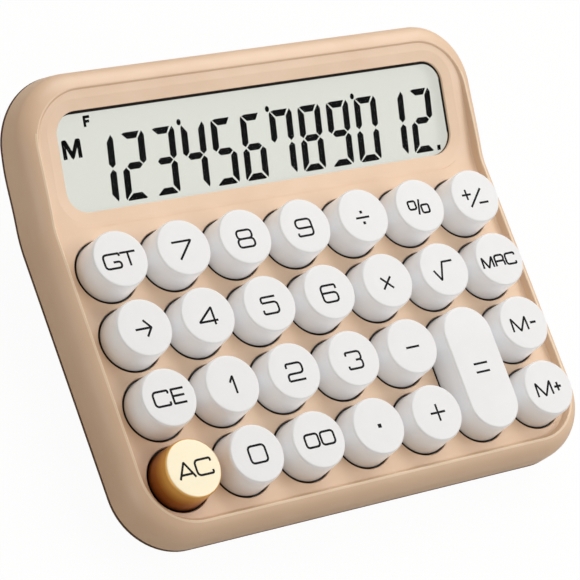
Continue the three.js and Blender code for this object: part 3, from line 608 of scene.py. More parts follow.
def keycap(name, bands, rough, metallic=0.0, glow=0.0):
    """A cap's surface: bands of colour by height, which hold painted shade at the foot and painted light
    above it, a fine grain, and a painted glow on the side where glow is given.
    """
    look = Look(name)
    height = look.add("SeparateXYZ", "Z", {"Vector": look.where})
    drift = look.ramp(look.noise(18, 3), (249, 249, 249), (255, 255, 255))
    shades = {"Factor": 1.0, "A": by_height(look, height, bands), "B": drift}
    look.bump(look.noise(0.16, 3, GRAIN_ROUGHNESS), 0.004, 0.5)
    look.set(
        Base_Color=look.add("Mix", "Result", shades, data_type="RGBA", blend_type="MULTIPLY"),
        Roughness=look.span(look.noise(4, 4), rough - 0.05, rough + 0.05),
        Metallic=metallic,
        Specular_IOR_Level=0.5,
    )
    if glow:
        paint_side_glow(look, height, glow)
    return look.material


def printed(name, low, high, patch_mm, speck_mm, rough, gloss):
    """Dull print of uneven density."""
    look = Look(name)
    look.set(
        Base_Color=look.ramp(look.noise(patch_mm, 4), low, high),
        Roughness=look.span(look.noise(speck_mm, 2), rough, 0.7),
        Specular_IOR_Level=gloss,
    )
    return look.material


def polariser():
    """The display's face: a satin grey-green film with faint cloudiness and fine speckle, dark under a
    painted glow that lights it evenly.
    """
    look = Look("polariser")
    look.bump(look.noise(0.12, 2), 0.004, 0.4)
    look.set(
        Base_Color=look.ramp(look.noise(18, 3), (82, 83, 80), (86, 87, 84)),
        Roughness=look.span(look.noise(0.5, 3), 0.32, 0.45),
        Specular_IOR_Level=0.3,
        Emission_Color=colour(226, 227, 219),
        Emission_Strength=LCD_PAINTED_GLOW,
    )
    return look.material


def window_glass():
    """Clear sheet: light passes straight through, and a weak reflection lies over its front."""
    look = Look("window_glass")
    look.set(
        Base_Color=(1, 1, 1, 1),
        Roughness=look.span(look.noise(30, 2), 0.03, 0.07),
        Metallic=1.0,
        Specular_IOR_Level=0.5,
    )
    clear = look.add("BsdfTransparent", "BSDF", {"Color": (0.985, 0.99, 0.985, 1)})
    mirror = look.add("Fresnel", "Fac", {"IOR": WINDOW_MIRROR_IOR})
    back = look.add("NewGeometry", "Backfacing", {})
    front = look.add("Math", "Value", {0: 1.0, 1: back}, operation="SUBTRACT")
    look.show(look.mixed(look.times(mirror, front), clear, look.shader.outputs["BSDF"]))
    return look.material


def circuit_board():
    """Green solder mask with faint copper tracks under it."""
    look = Look("circuit_board")
    tracks = look.add("TexBrick", "Color", {
        "Vector": look.where, "Scale": 180, "Color1": colour(38, 96, 62),
        "Color2": colour(34, 88, 56), "Mortar": colour(58, 120, 78),
    })
    look.bump(tracks.node.outputs["Fac"], 0.03, 0.5)
    look.set(Base_Color=tracks, Roughness=look.span(look.noise(3, 2), 0.3, 0.45))
    return look.material


# Each cap is near black below the deck's face: painted shade, so that the gap round the key reads dark.
GAP_PAINTED_SHADE = (14, 11, 9)
# The white cap grows a little paler up its side and on its top: painted light.
KEY_BANDS = (
    (-0.35, GAP_PAINTED_SHADE), (-0.1, (236, 240, 245)), (8.2, (238, 242, 247)), (8.9, (242, 245, 249)),
)
# The gold cap runs from dark brown at the foot through amber to pale on the top: painted shade and painted
# reflection.
GOLD_BANDS = (
    (-0.35, GAP_PAINTED_SHADE), (-0.1, (126, 66, 8)), (3.5, (166, 98, 18)),
    (7.2, (224, 166, 76)), (9.12, (230, 176, 94)), (9.22, (212, 203, 177)),
)
LOOKS = {
    "body": moulded("body_plastic", (221, 188, 156), (228, 197, 166), 0.42, 0.22, gloss=1.0),
    "base": moulded("base_plastic", (220, 187, 155), (227, 196, 165), 0.58, 0.35),
    "key": keycap("key_plastic", KEY_BANDS, 0.34, glow=KEY_GLOW),
    "gold_key": keycap("gold_plating", GOLD_BANDS, 0.42, metallic=0.5),
    "lens": window_glass(),
    "lcd": polariser(),
    "holder": moulded("holder_plastic", (222, 222, 220), (230, 230, 228), 0.5, 0.22),
    "silicone": moulded("silicone", (214, 211, 203), (224, 221, 213), 0.6, 0.5, 0.01),
    "board": circuit_board(),
    "chip": moulded("chip_resin", (18, 18, 20), (30, 30, 33), 0.3, 0.8, 0.03, 6),
    "ribbon": moulded("ribbon_film", (176, 122, 58), (196, 140, 70), 0.35, 0.6, 0.006, 8),
    "screw": metal("zinc", (176, 178, 182), (198, 200, 203), 0.3),
    "rubber": moulded("foot_rubber", (48, 46, 44), (62, 60, 57), 0.82, 0.3, 0.03, 7, 0.3),
    "cell": moulded("cell_sleeve", (52, 60, 70), (64, 72, 84), 0.3, 0.5, 0.004, 12),
    "contact": metal("nickel", (188, 186, 178), (208, 206, 198), 0.26),
    "red_lead": moulded("red_insulation", (160, 34, 28), (186, 46, 38), 0.45, 0.3, 0.006, 5),
    "black_lead": moulded("black_insulation", (24, 24, 26), (38, 38, 40), 0.45, 0.3, 0.006, 5),
}
# A paler body colour along the rim's crest: a painted highlight.
CREST_HIGHLIGHT = moulded("body_crest_highlight", (238, 214, 186), (243, 221, 194), 0.4, 0.22)
# Near black for painted shade: on the window's upright edge, and on the ring under the window's plate.
SHADE_BLACK = moulded("shade_black", (20, 17, 15), (30, 26, 23), 0.75, 0.3, 0.02, 8, 0.2)
# Dark brown for the ring between the covers: painted shade.
SEAM_SHADE_BROWN = moulded("seam_shade_brown", (92, 74, 60), (104, 84, 68), 0.7, 0.3, 0.02, 8, 0.2)
INK = printed("ink", (20, 20, 23), (30, 30, 33), 1.5, 0.3, 0.55, 0.1)
FIGURE = printed("figure", (2, 2, 3), (6, 6, 7), 2.5, 0.4, 0.5, 0.04)

slot_of = {part["node"]: part["material_slot"] for part in frame["record"]["subparts"]}
for node_name, node in nodes.items():
    node.data.materials.clear()
    node.data.materials.append(LOOKS[slot_of[node_name]])


def dress(obj, body, node=None, slot=None, material=None):
    """Gives a piece its body and its material, which is its slot's unless one is given; a node that it stands
    for can name the slot.
    """
    if node:
        slot = slot_of[node]
    obj.data.materials.clear()
    obj.data.materials.append(material or LOOKS[slot])
    if node:
        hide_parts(node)
    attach(obj, body)


# The keys, row by row from the back, with a dash where there is none

KEY_ROWS = (
    "gt 7 8 9 divide percent sign",
    "backspace 4 5 6 multiply root memory_recall",
    "ce 1 2 3 minus - memory_minus",
    "ac 0 00 point plus - memory_plus",
)
ROUND_KEYS = {
    name: ((column - 3) * KEY_PITCH, (1.5 - row) * KEY_PITCH)
    for row, names in enumerate(KEY_ROWS)
    for column, name in enumerate(names.split())
    if name != "-"
}
LONG_KEYS = {"equals": (2 * KEY_PITCH, -KEY_PITCH)}
KEYS_BY_SPAN = ((0.0, ROUND_KEYS), (LONG_KEY_SPAN, LONG_KEYS))


def key_profile():
    inside = [
        (KEY_SHOULDER_RADIUS - KEY_WALL, KEY_TOP - KEY_WALL), (KEY_SKIRT_RADIUS - KEY_WALL, KEY_FLANGE_LOW),
        (KEY_FLANGE_RADIUS, KEY_FLANGE_LOW), (KEY_FLANGE_RADIUS, KEY_FLANGE_TOP),
        (KEY_SKIRT_RADIUS, KEY_FLANGE_TOP),
    ]
    top = [
        (KEY_SKIRT_RADIUS, KEY_FLANGE_TOP), (KEY_SHOULDER_RADIUS, KEY_SHOULDER),
        (KEY_TOP_RADIUS, KEY_TOP), (KEY_TOP_RADIUS - 2 * KEY_EDGE_ROUND, KEY_TOP),
    ]
    return inside + rounded_path(top, KEY_EDGE_ROUND * 1.6, 6)[1:]


def keycaps():
    for span, keys in KEYS_BY_SPAN:
        shape = smooth(to_object("cap", turned(key_profile(), span), Matrix.Identity(4)))
        for name, place in keys.items():
            piece = new_object("cap_" + name, shape.data.copy())
            piece.matrix_world = in_metres(DECK @ at(*place))
            key = "key_" + name
            dress(piece, key, key)
        bpy.data.objects.remove(shape)


# The legends. A glyph's strokes are strings of points, in shares of its half width and half height.

STROKE = 0.62
BOLD_STROKE = 0.68
PRINT_HEIGHT = 0.03
PRINT_SUNK = 0.06
PRINT_STEP = 0.15
GLYPH_ROUND = 1.25
SHARP_ROUND = 0.12
ROUND_SHARE = 0.3
MITRE_LIMIT = 0.5
SAME_PLACE = 1e-6
GLYPHS = {
    "0": ["0,1 -1,1 -1,-1 1,-1 1,1 0,1"],
    "1": ["-0.75,0.3 0.35,1 0.35,-1"],
    "2": ["-0.93,0.5 -0.93,1 0.95,1 0.95,-0.2 -1,-0.2 -1,-1", "-1,-1 1,-1"],
    "3": ["-1,0.6 -1,1 1,1 1,0 0.2,0", "0.2,0 1,0 1,-1 -1,-1 -1,-0.62"],
    "4": ["0.62,-1 0.62,1 -1,-0.52 1,-0.52"],
    "5": ["0.95,1 -0.95,1 -0.95,0.33", "-0.95,0.33 1,0.33 1,-1 -1,-1 -1,-0.5"],
    "6": ["1,0.5 1,1 -1,1 -1,-1 1,-1 1,0.1 -1,0.1"],
    "7": ["-1,1 1,1 -0.6,-1"],
    "8": ["0,1 -0.92,1 -0.92,0 0.92,0 0.92,1 0,1", "0,0 -1,0 -1,-1 1,-1 1,0 0,0"],
    "9": ["-1,-0.6 -1,-1 1,-1 1,1 -1,1 -1,-0.05 0.95,-0.05"],
    "A": ["-1,-1 0,1 1,-1", "-0.72,-0.5 0.72,-0.5"],
    "C": ["1,0.55 1,1 -1,1 -1,-1 1,-1 1,-0.55"],
    "E": ["1,1 -1,1 -1,-1 1,-1", "-1,0.05 0.92,0.05"],
    "G": ["1,0.6 1,1 -1,1 -1,-1 1,-1 1,-0.15 0.1,-0.15"],
    "M": ["-1,-1 -0.94,1 0,-1 0.94,1 1,-1"],
    "R": ["-1,-1 -1,1 1,1 1,-0.1 -1,-0.1", "0.3,-0.1 1,-0.1 1,-1"],
    "T": ["-1,1 1,1", "0,1 0,-1"],
    "-": ["-1,0 1,0"],
    "+": ["-1,0 1,0", "0,-1 0,1"],
    "=": ["-1,1 1,1", "-1,-1 1,-1"],
    "/": ["-1,-1 1,1"],
    "x": ["-1,-1 1,1", "-1,1 1,-1"],
    "root": ["-1,0.2 -0.51,-1 0.03,1 1,1"],
    "arrow": ["-1,0 1,0", "0.22,1 1,0 0.22,-1"],
}
SHARP = ("1", "4", "7", "A", "E", "M", "T", "root", "arrow")

# Each key's glyphs, with their middle's place, their width and their height in millimetres
LEGENDS = {
    "gt": "G -2.73 -0.43 4.97 4.08, T 2.5 -0.43 4.74 3.99",
    "7": "7 -0.33 -0.76 6.06 5.16",
    "8": "8 -0.25 -0.59 5.21 4.99",
    "9": "9 -0.48 -0.41 5.03 4.9",
    "divide": "- -0.5 -0.55 4.51 1, dot -0.5 1.11 0.85 0.85, dot -0.5 -2.21 0.85 0.85",
    "percent": "0 -2.75 0.38 2.5 2.5, / -0.6 -0.38 1.28 4.6, 0 1.45 -1.15 2.5 2.45",
    "sign": "+ -2.94 0.67 3.17 3.27, / -0.07 -0.62 5.15 5.25, - 2.2 -2.4 3.27 1",
    "backspace": "arrow -0.5 -0.28 4.89 4.77",
    "4": "4 -0.34 -0.43 5.88 5.02",
    "5": "5 -0.14 -0.53 4.98 4.85",
    "6": "6 -0.19 -0.55 4.91 4.93",
    "multiply": "x -0.49 -0.72 3.42 3.5",
    "root": "root -0.12 -0.35 7.26 5.35",
    "memory_recall": "M -4.5 -0.5 3.7 3.3, R -0.21 -0.5 3.05 3.3, C 3.77 -0.5 3.35 3.3",
    "ce": "C -2.4 -0.06 4.65 4.1, E 2.97 -0.06 3.8 4.0",
    "1": "1 0.17 -0.3 2.28 5.03",
    "2": "2 0.26 -0.29 5.29 4.94",
    "3": "3 -0.08 -0.53 4.74 4.87",
    "minus": "- 0 -0.3 4.46 1",
    "memory_minus": "M -1.79 -0.28 5.33 4.02, bold- 3.07 -0.39 2.05 1",
    "ac": "A -2.6 -0.26 4.83 4.44, C 2.99 -0.26 4.83 4.25",
    "0": "0 0.1 -0.18 5.27 4.81",
    "00": "0 -2.27 0 4.25 3.7, 0 2.83 0 4.25 3.7",
    "point": "dot 0.25 -0.1 1.15 1.15",
    "plus": "+ 0.26 -0.07 4.97 4.98",
    "memory_plus": "M -1.81 -0.27 5.35 4.1, bold+ 3.07 -0.37 2.39 2.63",
    "equals": "= 0.15 -0.2 4.75 2.5",
}


def stroke(path, width, low, high):
    """A flat band along a path, from the height low to high, with its ends cut square."""
    closed = (path[0] - path[-1]).length < SAME_PLACE
    ways = [(after - here).normalized() for here, after in zip(path, path[1:])]
    count = len(ways) if closed else len(path)
    points, faces = [], []
    for index in range(count):
        going = ways[min(index, len(ways) - 1)]
        coming = ways[index - 1] if index or closed else going
        along = (coming + going).normalized()
        across = Vector((-along.y, along.x))
        lean = max(across.dot(Vector((-going.y, going.x))), MITRE_LIMIT)
        left, right = (path[index] + across * side * width / 2 / lean for side in (1, -1))
        points += [Vector((*left, low)), Vector((*right, low)), Vector((*right, high)), Vector((*left, high))]
    for index in range(len(ways)):
        faces += band(4 * index, 4 * ((index + 1) % count), 4)
    if not closed:
        faces += [tuple(range(4)), tuple(range(4 * count - 4, 4 * count))]
    return points, faces


def spots(line):
    """The points of a string such as "0,1 1,1"."""
    return [tuple(map(float, spot.split(","))) for spot in line.split()]


def placed_paths(lines, x, y, width, height, radius, steps):
    """A glyph's paths about its middle."""
    for line in lines:
        corners = [(x + across * width / 2, y + up * height / 2) for across, up in spots(line)]
        yield rounded_path(corners, radius, steps)


def glyph(sign, x, y, width, height):
    """The closed bands of one glyph. A later band is a little lower, so that no two tops are level."""
    low = KEY_TOP - PRINT_SUNK
    if sign == "dot":
        high = KEY_TOP + PRINT_HEIGHT
        return [block((x - width / 2, y - height / 2, low), (x + width / 2, y + height / 2, high))]
    thick = BOLD_STROKE if sign.startswith("bold") else STROKE
    lines = GLYPHS[sign.removeprefix("bold")]
    radius = SHARP_ROUND if sign in SHARP else min(GLYPH_ROUND, width * ROUND_SHARE, height * ROUND_SHARE)
    return [
        stroke(path, thick, low, KEY_TOP + PRINT_HEIGHT * (1 - PRINT_STEP * index))
        for index, path in enumerate(placed_paths(lines, x, y, width, height, radius, 7))
    ]


def legends():
    for name, place in {**ROUND_KEYS, **LONG_KEYS}.items():
        bands = []
        for mark in LEGENDS[name].split(", "):
            sign, *sizes = mark.split()
            bands += glyph(sign, *map(float, sizes))
        piece = to_object("legend_" + name, joined(bands), DECK @ at(*place))
        dress(piece, "key_" + name, material=INK)


# The display's figures, in the display's own frame. The seven bars are outlines about a digit's middle.

DIGITS = "123456789012"
BARS = {
    "a": "-3.25,9 -2.4,9.35 2.4,9.35 1.35,7.45 -1.5,7.45",
    "b": "3.9,8.05 3.15,9.3 1.8,7.3 1.8,1.37 2.85,0.21 3.9,1.1",
    "c": "3.9,-8.35 3.6,-9.05 1.8,-6.9 1.8,-1.37 2.85,-0.21 3.9,-1.1",
    "d": "-3.3,-9.05 -3,-9.35 2.7,-9.35 3.05,-9.1 1.4,-7.45 -1.4,-7.45",
    "e": "-3.9,-8.35 -3.6,-9.05 -1.8,-6.9 -1.8,-1.37 -2.85,-0.21 -3.9,-1.1",
    "f": "-3.9,8.35 -3.6,9.05 -1.8,6.9 -1.8,1.37 -2.85,0.21 -3.9,1.1",
    "g": "-2.43,0 -1.548,0.95 1.674,0.95 2.598,0 1.548,-0.95 -1.548,-0.95",
}
LIT = dict(zip("0123456789", "abcdef bc abged abgcd fgbc afgcd afgedc fabc abcdefg abfgcd".split()))
DIGIT_PITCH = 9.9
FIRST_DIGIT_X = -50.75
DIGIT_LOW = 4.55
DIGIT_HEIGHT = 18.7
DIGIT_LEAN = 1.2
APOSTROPHE_AFTER = (2, 5, 8)
APOSTROPHE_SHIFT = 1.3
APOSTROPHE_RISE = 0.6
APOSTROPHE_HALF_SIZE = (0.7, 0.9)
OVAL_SIDES = 12
POINT_SHIFT = 0.5
POINT_RISE = 0.75
POINT_OUTLINE = "-0.62,-0.75 0.58,-0.75 0.68,0.75 -0.52,0.75"
MARK_LOW = PANEL_TOP - 0.02
MARK_HIGH = PANEL_TOP + 0.04

# The small signs: their strokes, then their middle, width, height and stroke width
SIGN_STROKES = {
    "M": ["-1,-1 -1,1 -0.8,1 0,-0.75 0.8,1 1,1 1,-1"],
    "F": ["1,1 -1,1 -1,-1", "-1,0.1 0.75,0.1"],
}
SIGNS = (("M", -59.55, 20.6, 5.9, 5.9, 1.2), ("F", -53.4, 27.65, 2.5, 3.5, 0.8))
SIGN_ROUND = 0.05


def digit_bars():
    """The outlines of the lit bars of all digits."""
    middle_y = DIGIT_LOW + DIGIT_HEIGHT / 2
    for place, digit in enumerate(DIGITS):
        middle_x = FIRST_DIGIT_X + DIGIT_PITCH * place
        for bar in LIT[digit]:
            yield [(middle_x + x + DIGIT_LEAN * y / DIGIT_HEIGHT, middle_y + y) for x, y in spots(BARS[bar])]


def separators():
    """The outlines of the apostrophes over the digits and of the point after them."""
    half_width, half_height = APOSTROPHE_HALF_SIZE
    y = DIGIT_LOW + DIGIT_HEIGHT + APOSTROPHE_RISE
    turns = [2 * math.pi * side / OVAL_SIDES for side in range(OVAL_SIDES)]
    for place in APOSTROPHE_AFTER:
        x = FIRST_DIGIT_X + DIGIT_PITCH * (place + 0.5) + APOSTROPHE_SHIFT
        yield [(x + half_width * math.cos(turn), y + half_height * math.sin(turn)) for turn in turns]
    x = FIRST_DIGIT_X + DIGIT_PITCH * (len(DIGITS) - 0.5) - POINT_SHIFT
    yield [(x + across, DIGIT_LOW + POINT_RISE + up) for across, up in spots(POINT_OUTLINE)]


def display_marks():
    figures = [slab(outline, MARK_LOW, MARK_HIGH) for outline in (*digit_bars(), *separators())]
    dress(to_object("display_figures", joined(figures), DISPLAY), "case", material=FIGURE)
    signs = [
        stroke(path, line, MARK_LOW, MARK_HIGH)
        for sign, x, y, width, height, line in SIGNS
        for path in placed_paths(SIGN_STROKES[sign], x, y, width - line, height - line, SIGN_ROUND, 2)
    ]
    dress(to_object("display_indicators", joined(signs), DISPLAY), "case", material=FIGURE)


# The covers. Each table goes along a profile: how far in, and the height or the share of the rim's height.

LOWER_EDGE = (
    (LOWER_INSET + WALL / 2, -SIDE_DEPTH),
    (LOWER_INSET * 0.55, -SIDE_DEPTH),
    (LOWER_INSET * 0.3, LOWER_ROUND * 0.3 - SIDE_DEPTH),
    (LOWER_INSET * 0.08, LOWER_ROUND * 0.65 - SIDE_DEPTH),
    (0.0, LOWER_ROUND - SIDE_DEPTH),
)
RIM_INNER_SIDE = (
    (RIM_INSET - 0.5, 0.935), (RIM_INSET, 1.0), (RIM_INSET + 0.25, 1.0), (RIM_INSET + 0.45, 0.7),
    (RIM_FOOT_INSET - 0.35, 0.4), (RIM_FOOT_INSET - 0.15, 0.1),
    (RIM_FOOT_INSET + 0.4, 0.0), (RIM_FOOT_INSET + 1.0, 0.0),
)
RIM_INNER_ROUND = 0.22
RIM_CORNER_SHRINK = 0.6
BELLY = (
    (UNDERSIDE_INSET + 3, -UNDERSIDE_DEPTH), (UNDERSIDE_INSET, -UNDERSIDE_DEPTH), (3.0, -14.2),
    (1.4, -12.6), (SEAM_INSET + 0.25, SEAM_LOW - 0.3), (SEAM_INSET + 0.45, SEAM_LOW),
)
BELLY_ROUND = 2.2
BELLY_CORNER_SHRINK = 0.8
WINDOW_EDGE = (
    (0, -WINDOW_PLATE), (0, -WINDOW_DARK_DEPTH),
    (0, -WINDOW_BEVEL_DEPTH - 0.12), (0.12, -WINDOW_BEVEL_DEPTH),
)
WINDOW_SLOPE = (
    (0.3, -WINDOW_BEVEL_DEPTH * 0.98), (WINDOW_BEVEL_WIDTH, 0), (WINDOW_BEVEL_WIDTH + 1.2, 0.06),
)
WINDOW_EDGE_SLACK = 0.2
UPRIGHT_SLOPE = 0.4


def rim_at(along):
    return RIM_HEIGHT + (RIM_BACK_HEIGHT - RIM_HEIGHT) * ease(along, RIM_FALL_START, RIM_FALL_END)


def edge_at(along):
    """The height of the side wall's lower edge, which runs a little deeper to the back."""
    share = (along - CASE_FRONT) / (CASE_BACK - CASE_FRONT)
    swell = SIDE_SWELL * math.exp(-((along - SIDE_SWELL_PLACE) / SIDE_SWELL_REACH) ** 2)
    return -SIDE_DEPTH_FRONT - (SIDE_DEPTH_BACK - SIDE_DEPTH_FRONT) * share - swell


def inset_at(x, along):
    """How far a place lies inside the case's outline."""
    middle = (CASE_FRONT + CASE_BACK) / 2
    out_x = abs(x) - CASE_HALF_WIDTH + CASE_CORNER
    out_y = abs(along - middle) - (CASE_BACK - CASE_FRONT) / 2 + CASE_CORNER
    return CASE_CORNER - math.hypot(max(out_x, 0), max(out_y, 0)) - min(max(out_x, out_y), 0)


def wedge(obj, low):
    """Lets the seam at the case's edge run deeper to the back. Nothing moves at the height low and below."""
    to_deck = in_metres(DECK).inverted()
    for vertex in obj.data.vertices:
        point = (to_deck @ vertex.co) / MM
        along, up, rise = unbent(point)
        if up >= WALL_TURN or up <= low or inset_at(point.x, along) > WEDGE_REACH:
            continue
        share = (WALL_TURN - up) / (WALL_TURN + SIDE_DEPTH) if up > -SIDE_DEPTH else 1
        if up < SEAM_LOW:
            share = (up - low) / (SEAM_LOW - low)
        shift = rise * (edge_at(along) + SIDE_DEPTH) * share
        vertex.co = in_metres(DECK) @ ((point + shift) * MM)
    return obj


def wall_up(share):
    """A height between the place where the wall stands upright, share 0, and the rim's crest, share 1."""
    return lambda along: WALL_TURN + (rim_at(along) - WALL_TURN) * share


def rim_up(inset, share):
    """The height of one ring of the rim, which keeps flat for longer where it runs round the display."""
    late = max(share, 1 - ease(inset, RIM_DROP_START, RIM_FOOT_INSET))
    return lambda along: rim_at(along) * (share + (late - share) * ease(along, RIM_FALL_START, RIM_FALL_END))


def corner_at(inset):
    return CASE_CORNER + (RIM_CORNER - CASE_CORNER) * min(inset / RIM_INSET, 1)


def wall_rings():
    """The outer wall, as one even curve from its upright place to the crest."""
    low = (1 - (1 - WALL_CREST) ** WALL_POWER) ** (1 / WALL_POWER)
    for step in range(WALL_STEPS):
        across = 1 - (WALL_CREST * step / WALL_STEPS) ** 1.3 / WALL_CREST ** 0.3
        rise = (1 - across ** WALL_POWER) ** (1 / WALL_POWER)
        inset = RIM_INSET * (1 - across) / WALL_CREST
        yield case_ring(inset, wall_up(rise / low), corner_at(inset))


def rim_rings():
    """The rim's inner side, from its crest down to the deck."""
    for inset, share in rounded_path(RIM_INNER_SIDE, RIM_INNER_ROUND, 4)[1:]:
        yield case_ring(inset, rim_up(inset, share), RIM_CORNER - (inset - RIM_INSET) * RIM_CORNER_SHRINK)


def key_holes():
    """Cutters for the openings of the keys, with a rounded upper edge."""
    edge = HOLE_EDGE_ROUND
    profile = [(KEY_HOLE_RADIUS, -OVERRUN)]
    for angle in spread(HOLE_EDGE_LOW, HOLE_EDGE_HIGH, HOLE_EDGE_STEPS):
        profile.append((KEY_HOLE_RADIUS + edge * (1 - math.sin(angle)), -edge * (1 - math.cos(angle))))
    profile.append((KEY_HOLE_RADIUS + edge, OVERRUN))
    for span, keys in KEYS_BY_SPAN:
        for place in keys.values():
            yield moved(turned(profile, span), at(*place))


def window_cutter():
    """The window's opening with its soft bevel."""
    slope = rounded_path(WINDOW_SLOPE, WINDOW_BEVEL_ROUND, 5)
    profile = [(0, -OVERRUN), *WINDOW_EDGE, *slope, (WINDOW_SLOPE[-1][0], OVERRUN)]
    return loft([(window_ring(grow), up) for grow, up in profile])


def paint(shell, material, place, chosen):
    """Gives another material to the faces whose centre and normal, in a place's frame, are chosen."""
    shell.data.materials.append(material)
    to_place = in_metres(place).inverted()
    turn = to_place.to_3x3()
    for face in shell.data.polygons:
        if chosen((to_place @ face.center) / MM, turn @ face.normal):
            face.material_index = len(shell.data.materials) - 1


def on_window_edge(point, normal):
    """The upright edge of the window's opening, below its pale upper part, which is painted near black as its
    shade.
    """
    x, along, up = point
    slack = WINDOW_EDGE_SLACK
    beside = abs(x) < WINDOW_HALF_WIDTH + slack and WINDOW_FRONT - slack < along < WINDOW_BACK + slack
    return beside and -WINDOW_PLATE < up < -WINDOW_DARK_DEPTH and abs(normal.z) < UPRIGHT_SLOPE


def on_crest(point, normal):
    """The narrow crest of the rim, at the front, at the sides and round the back corners, where a painted
    highlight goes.
    """
    along, up, _ = unbent(point)
    at_side = abs(point.x) > CASE_HALF_WIDTH - RIM_INSET - CREST_REACH
    at_top = RIM_INSET - CREST_OUTER < inset_at(point.x, along) < RIM_INSET + CREST_INNER
    return at_top and up > rim_at(along) * CREST_SHARE and (at_side or along < RIM_FALL_START)


def top_cover():
    lower = [case_ring(inset, up, CASE_CORNER) for inset, up in LOWER_EDGE]
    shell = to_object("top_shell", loft([*lower, *wall_rings(), *rim_rings()], bent))
    inside = [
        case_ring(LOWER_INSET + WALL, -SIDE_DEPTH - OVERRUN, CASE_CORNER - WALL),
        case_ring(LOWER_INSET + WALL, -SIDE_DEPTH + LIP_HEIGHT - SEAM_GAP + FIT_GAP, CASE_CORNER - WALL),
        case_ring(RIM_FOOT_INSET - WALL / 2, -DECK_THICKNESS, RIM_CORNER),
    ]
    cut(shell, window_cutter(), DISPLAY)
    cut(shell, loft(inside, bent))
    cut(shell, joined(key_holes()))
    smooth(wedge(shell, -SIDE_DEPTH - 1))
    dress(shell, "case", "top_cover")
    # Painted shade on the window's upright edge
    paint(shell, SHADE_BLACK, DISPLAY, on_window_edge)
    # A painted highlight along the rim's crest
    paint(shell, CREST_HIGHLIGHT, DECK, on_crest)


def seam_band():
    """A dark ring between the two covers: painted shade for the shadow in the gap under the top cover's edge.
    """
    inner = LOWER_INSET + WALL / 2
    corners = ((SEAM_INSET, SEAM_LOW), (SEAM_INSET, -SIDE_DEPTH), (inner, -SIDE_DEPTH), (inner, SEAM_LOW))
    rings = [case_ring(inset, up) for inset, up in corners]
    piece = wedge(to_object("seam_band", loft(rings, bent, True)), -UNDERSIDE_DEPTH)
    dress(smooth(piece), "case", material=SEAM_SHADE_BROWN)


def window_seal_and_shade():
    """A thin dark gasket between the window's plate and the lens, which shows only along the back and the
    right, where it is also painted shade for the opening's walls.
    """
    low, high = -WINDOW_PLATE - FIT_GAP + SEAL_SUNK, -WINDOW_PLATE + SEAL_SUNK
    outer = window_ring(SEAL_WIDTH)
    shift = SEAL_SHOWS_RIGHT / 2
    inner = ring(WINDOW_HALF_WIDTH - shift, WINDOW_FRONT, WINDOW_BACK - SEAL_SHOWS_BACK, WINDOW_CORNER - 1)
    inner = [(x - shift, along) for x, along in inner]
    seal = to_object("window_seal_and_shade", loft([(outer, low), (outer, high)]), DISPLAY)
    cut(seal, loft([(inner, low - 1), (inner, high + 1)]), DISPLAY)
    dress(seal, "case", material=SHADE_BLACK)


def tray_rings():
    """The bottom cover's outside from its underside up, its lip, and its inside down to the floor."""
    belly = rounded_path(BELLY, BELLY_ROUND, 3)
    rings = [case_ring(inset, up, CASE_CORNER - inset * BELLY_CORNER_SHRINK) for inset, up in belly]
    lip_inset = LOWER_INSET + WALL + FIT_GAP
    lip_corner = CASE_CORNER - WALL
    lip_high = -SIDE_DEPTH - SEAM_GAP + LIP_HEIGHT
    floor_inset, floor_corner = lip_inset + LIP_THICKNESS, lip_corner - LIP_THICKNESS
    return rings + [
        case_ring(lip_inset, SEAM_LOW, lip_corner),
        case_ring(lip_inset, lip_high, lip_corner),
        case_ring(floor_inset, lip_high, floor_corner),
        case_ring(floor_inset, -UNDERSIDE_DEPTH + FLOOR_THICKNESS, floor_corner),
    ]


def stand():
    """The hump under the case that holds its display end up, with its sides spreading upwards."""
    def stand_ring(up):
        grow = STAND_SPREAD * (up - FOOT_PROUD) / STAND_SPREAD_HEIGHT
        return ring(STAND_HALF_WIDTH + grow, STAND_FRONT - grow, STAND_BACK + grow, STAND_CORNER + grow), up

    low, high = -UNDERSIDE_DEPTH - STAND_SPREAD_HEIGHT - OVERRUN, -UNDERSIDE_DEPTH + FLOOR_THICKNESS / 2
    under = [case_ring(UNDERSIDE_INSET, up) for up in (low, high)]
    rings = [stand_ring(FOOT_PROUD), stand_ring(FOOT_PROUD + 2 * STAND_SPREAD_HEIGHT)]
    made = to_object("stand", loft(rings), GROUND)
    combine(made, "INTERSECT", to_object("under", loft(under, bent)))
    return made


def battery_room(wall, low):
    """The room for the cells, grown by the wall around it."""
    half_width = ROOM_HALF_WIDTH + wall
    return block(
        (-ROOM_HALF_LENGTH - wall, ROOM_PLACE_Y - half_width, low),
        (ROOM_HALF_LENGTH + wall, ROOM_PLACE_Y + half_width, ROOM_TOP + wall),
    )


def door_recess():
    def door_ring(grow, up):
        half = ROOM_HALF_LENGTH + DOOR_MARGIN + DOOR_GAP + grow
        low, high = DOOR_FRONT - DOOR_GAP - grow, DOOR_BACK + DOOR_GAP + grow
        return ring(half, low, high, DOOR_CORNER + grow, corner_steps=5), up

    return loft([
        door_ring(MOUTH_CHAMFER, -OVERRUN),
        door_ring(MOUTH_CHAMFER, FOOT_PROUD),
        door_ring(0, FOOT_PROUD + MOUTH_CHAMFER),
        door_ring(0, FOOT_PROUD + DOOR_THICKNESS + DOOR_GAP),
    ])


def hinge_sockets():
    """One bore along X for both pins of the door."""
    reach = ROOM_HALF_LENGTH + DOOR_MARGIN + DOOR_PIN_REACH + DOOR_PIN_GAP
    radius = DOOR_THICKNESS / 2 + DOOR_PIN_GAP
    place = Matrix.Translation((0, DOOR_FRONT + radius - DOOR_PIN_GAP, FOOT_PROUD + DOOR_THICKNESS / 2))
    bore = turned([(radius, -reach), (radius, reach)], sides=24)
    return moved(bore, place @ Matrix.Rotation(math.pi / 2, 4, "Y"))


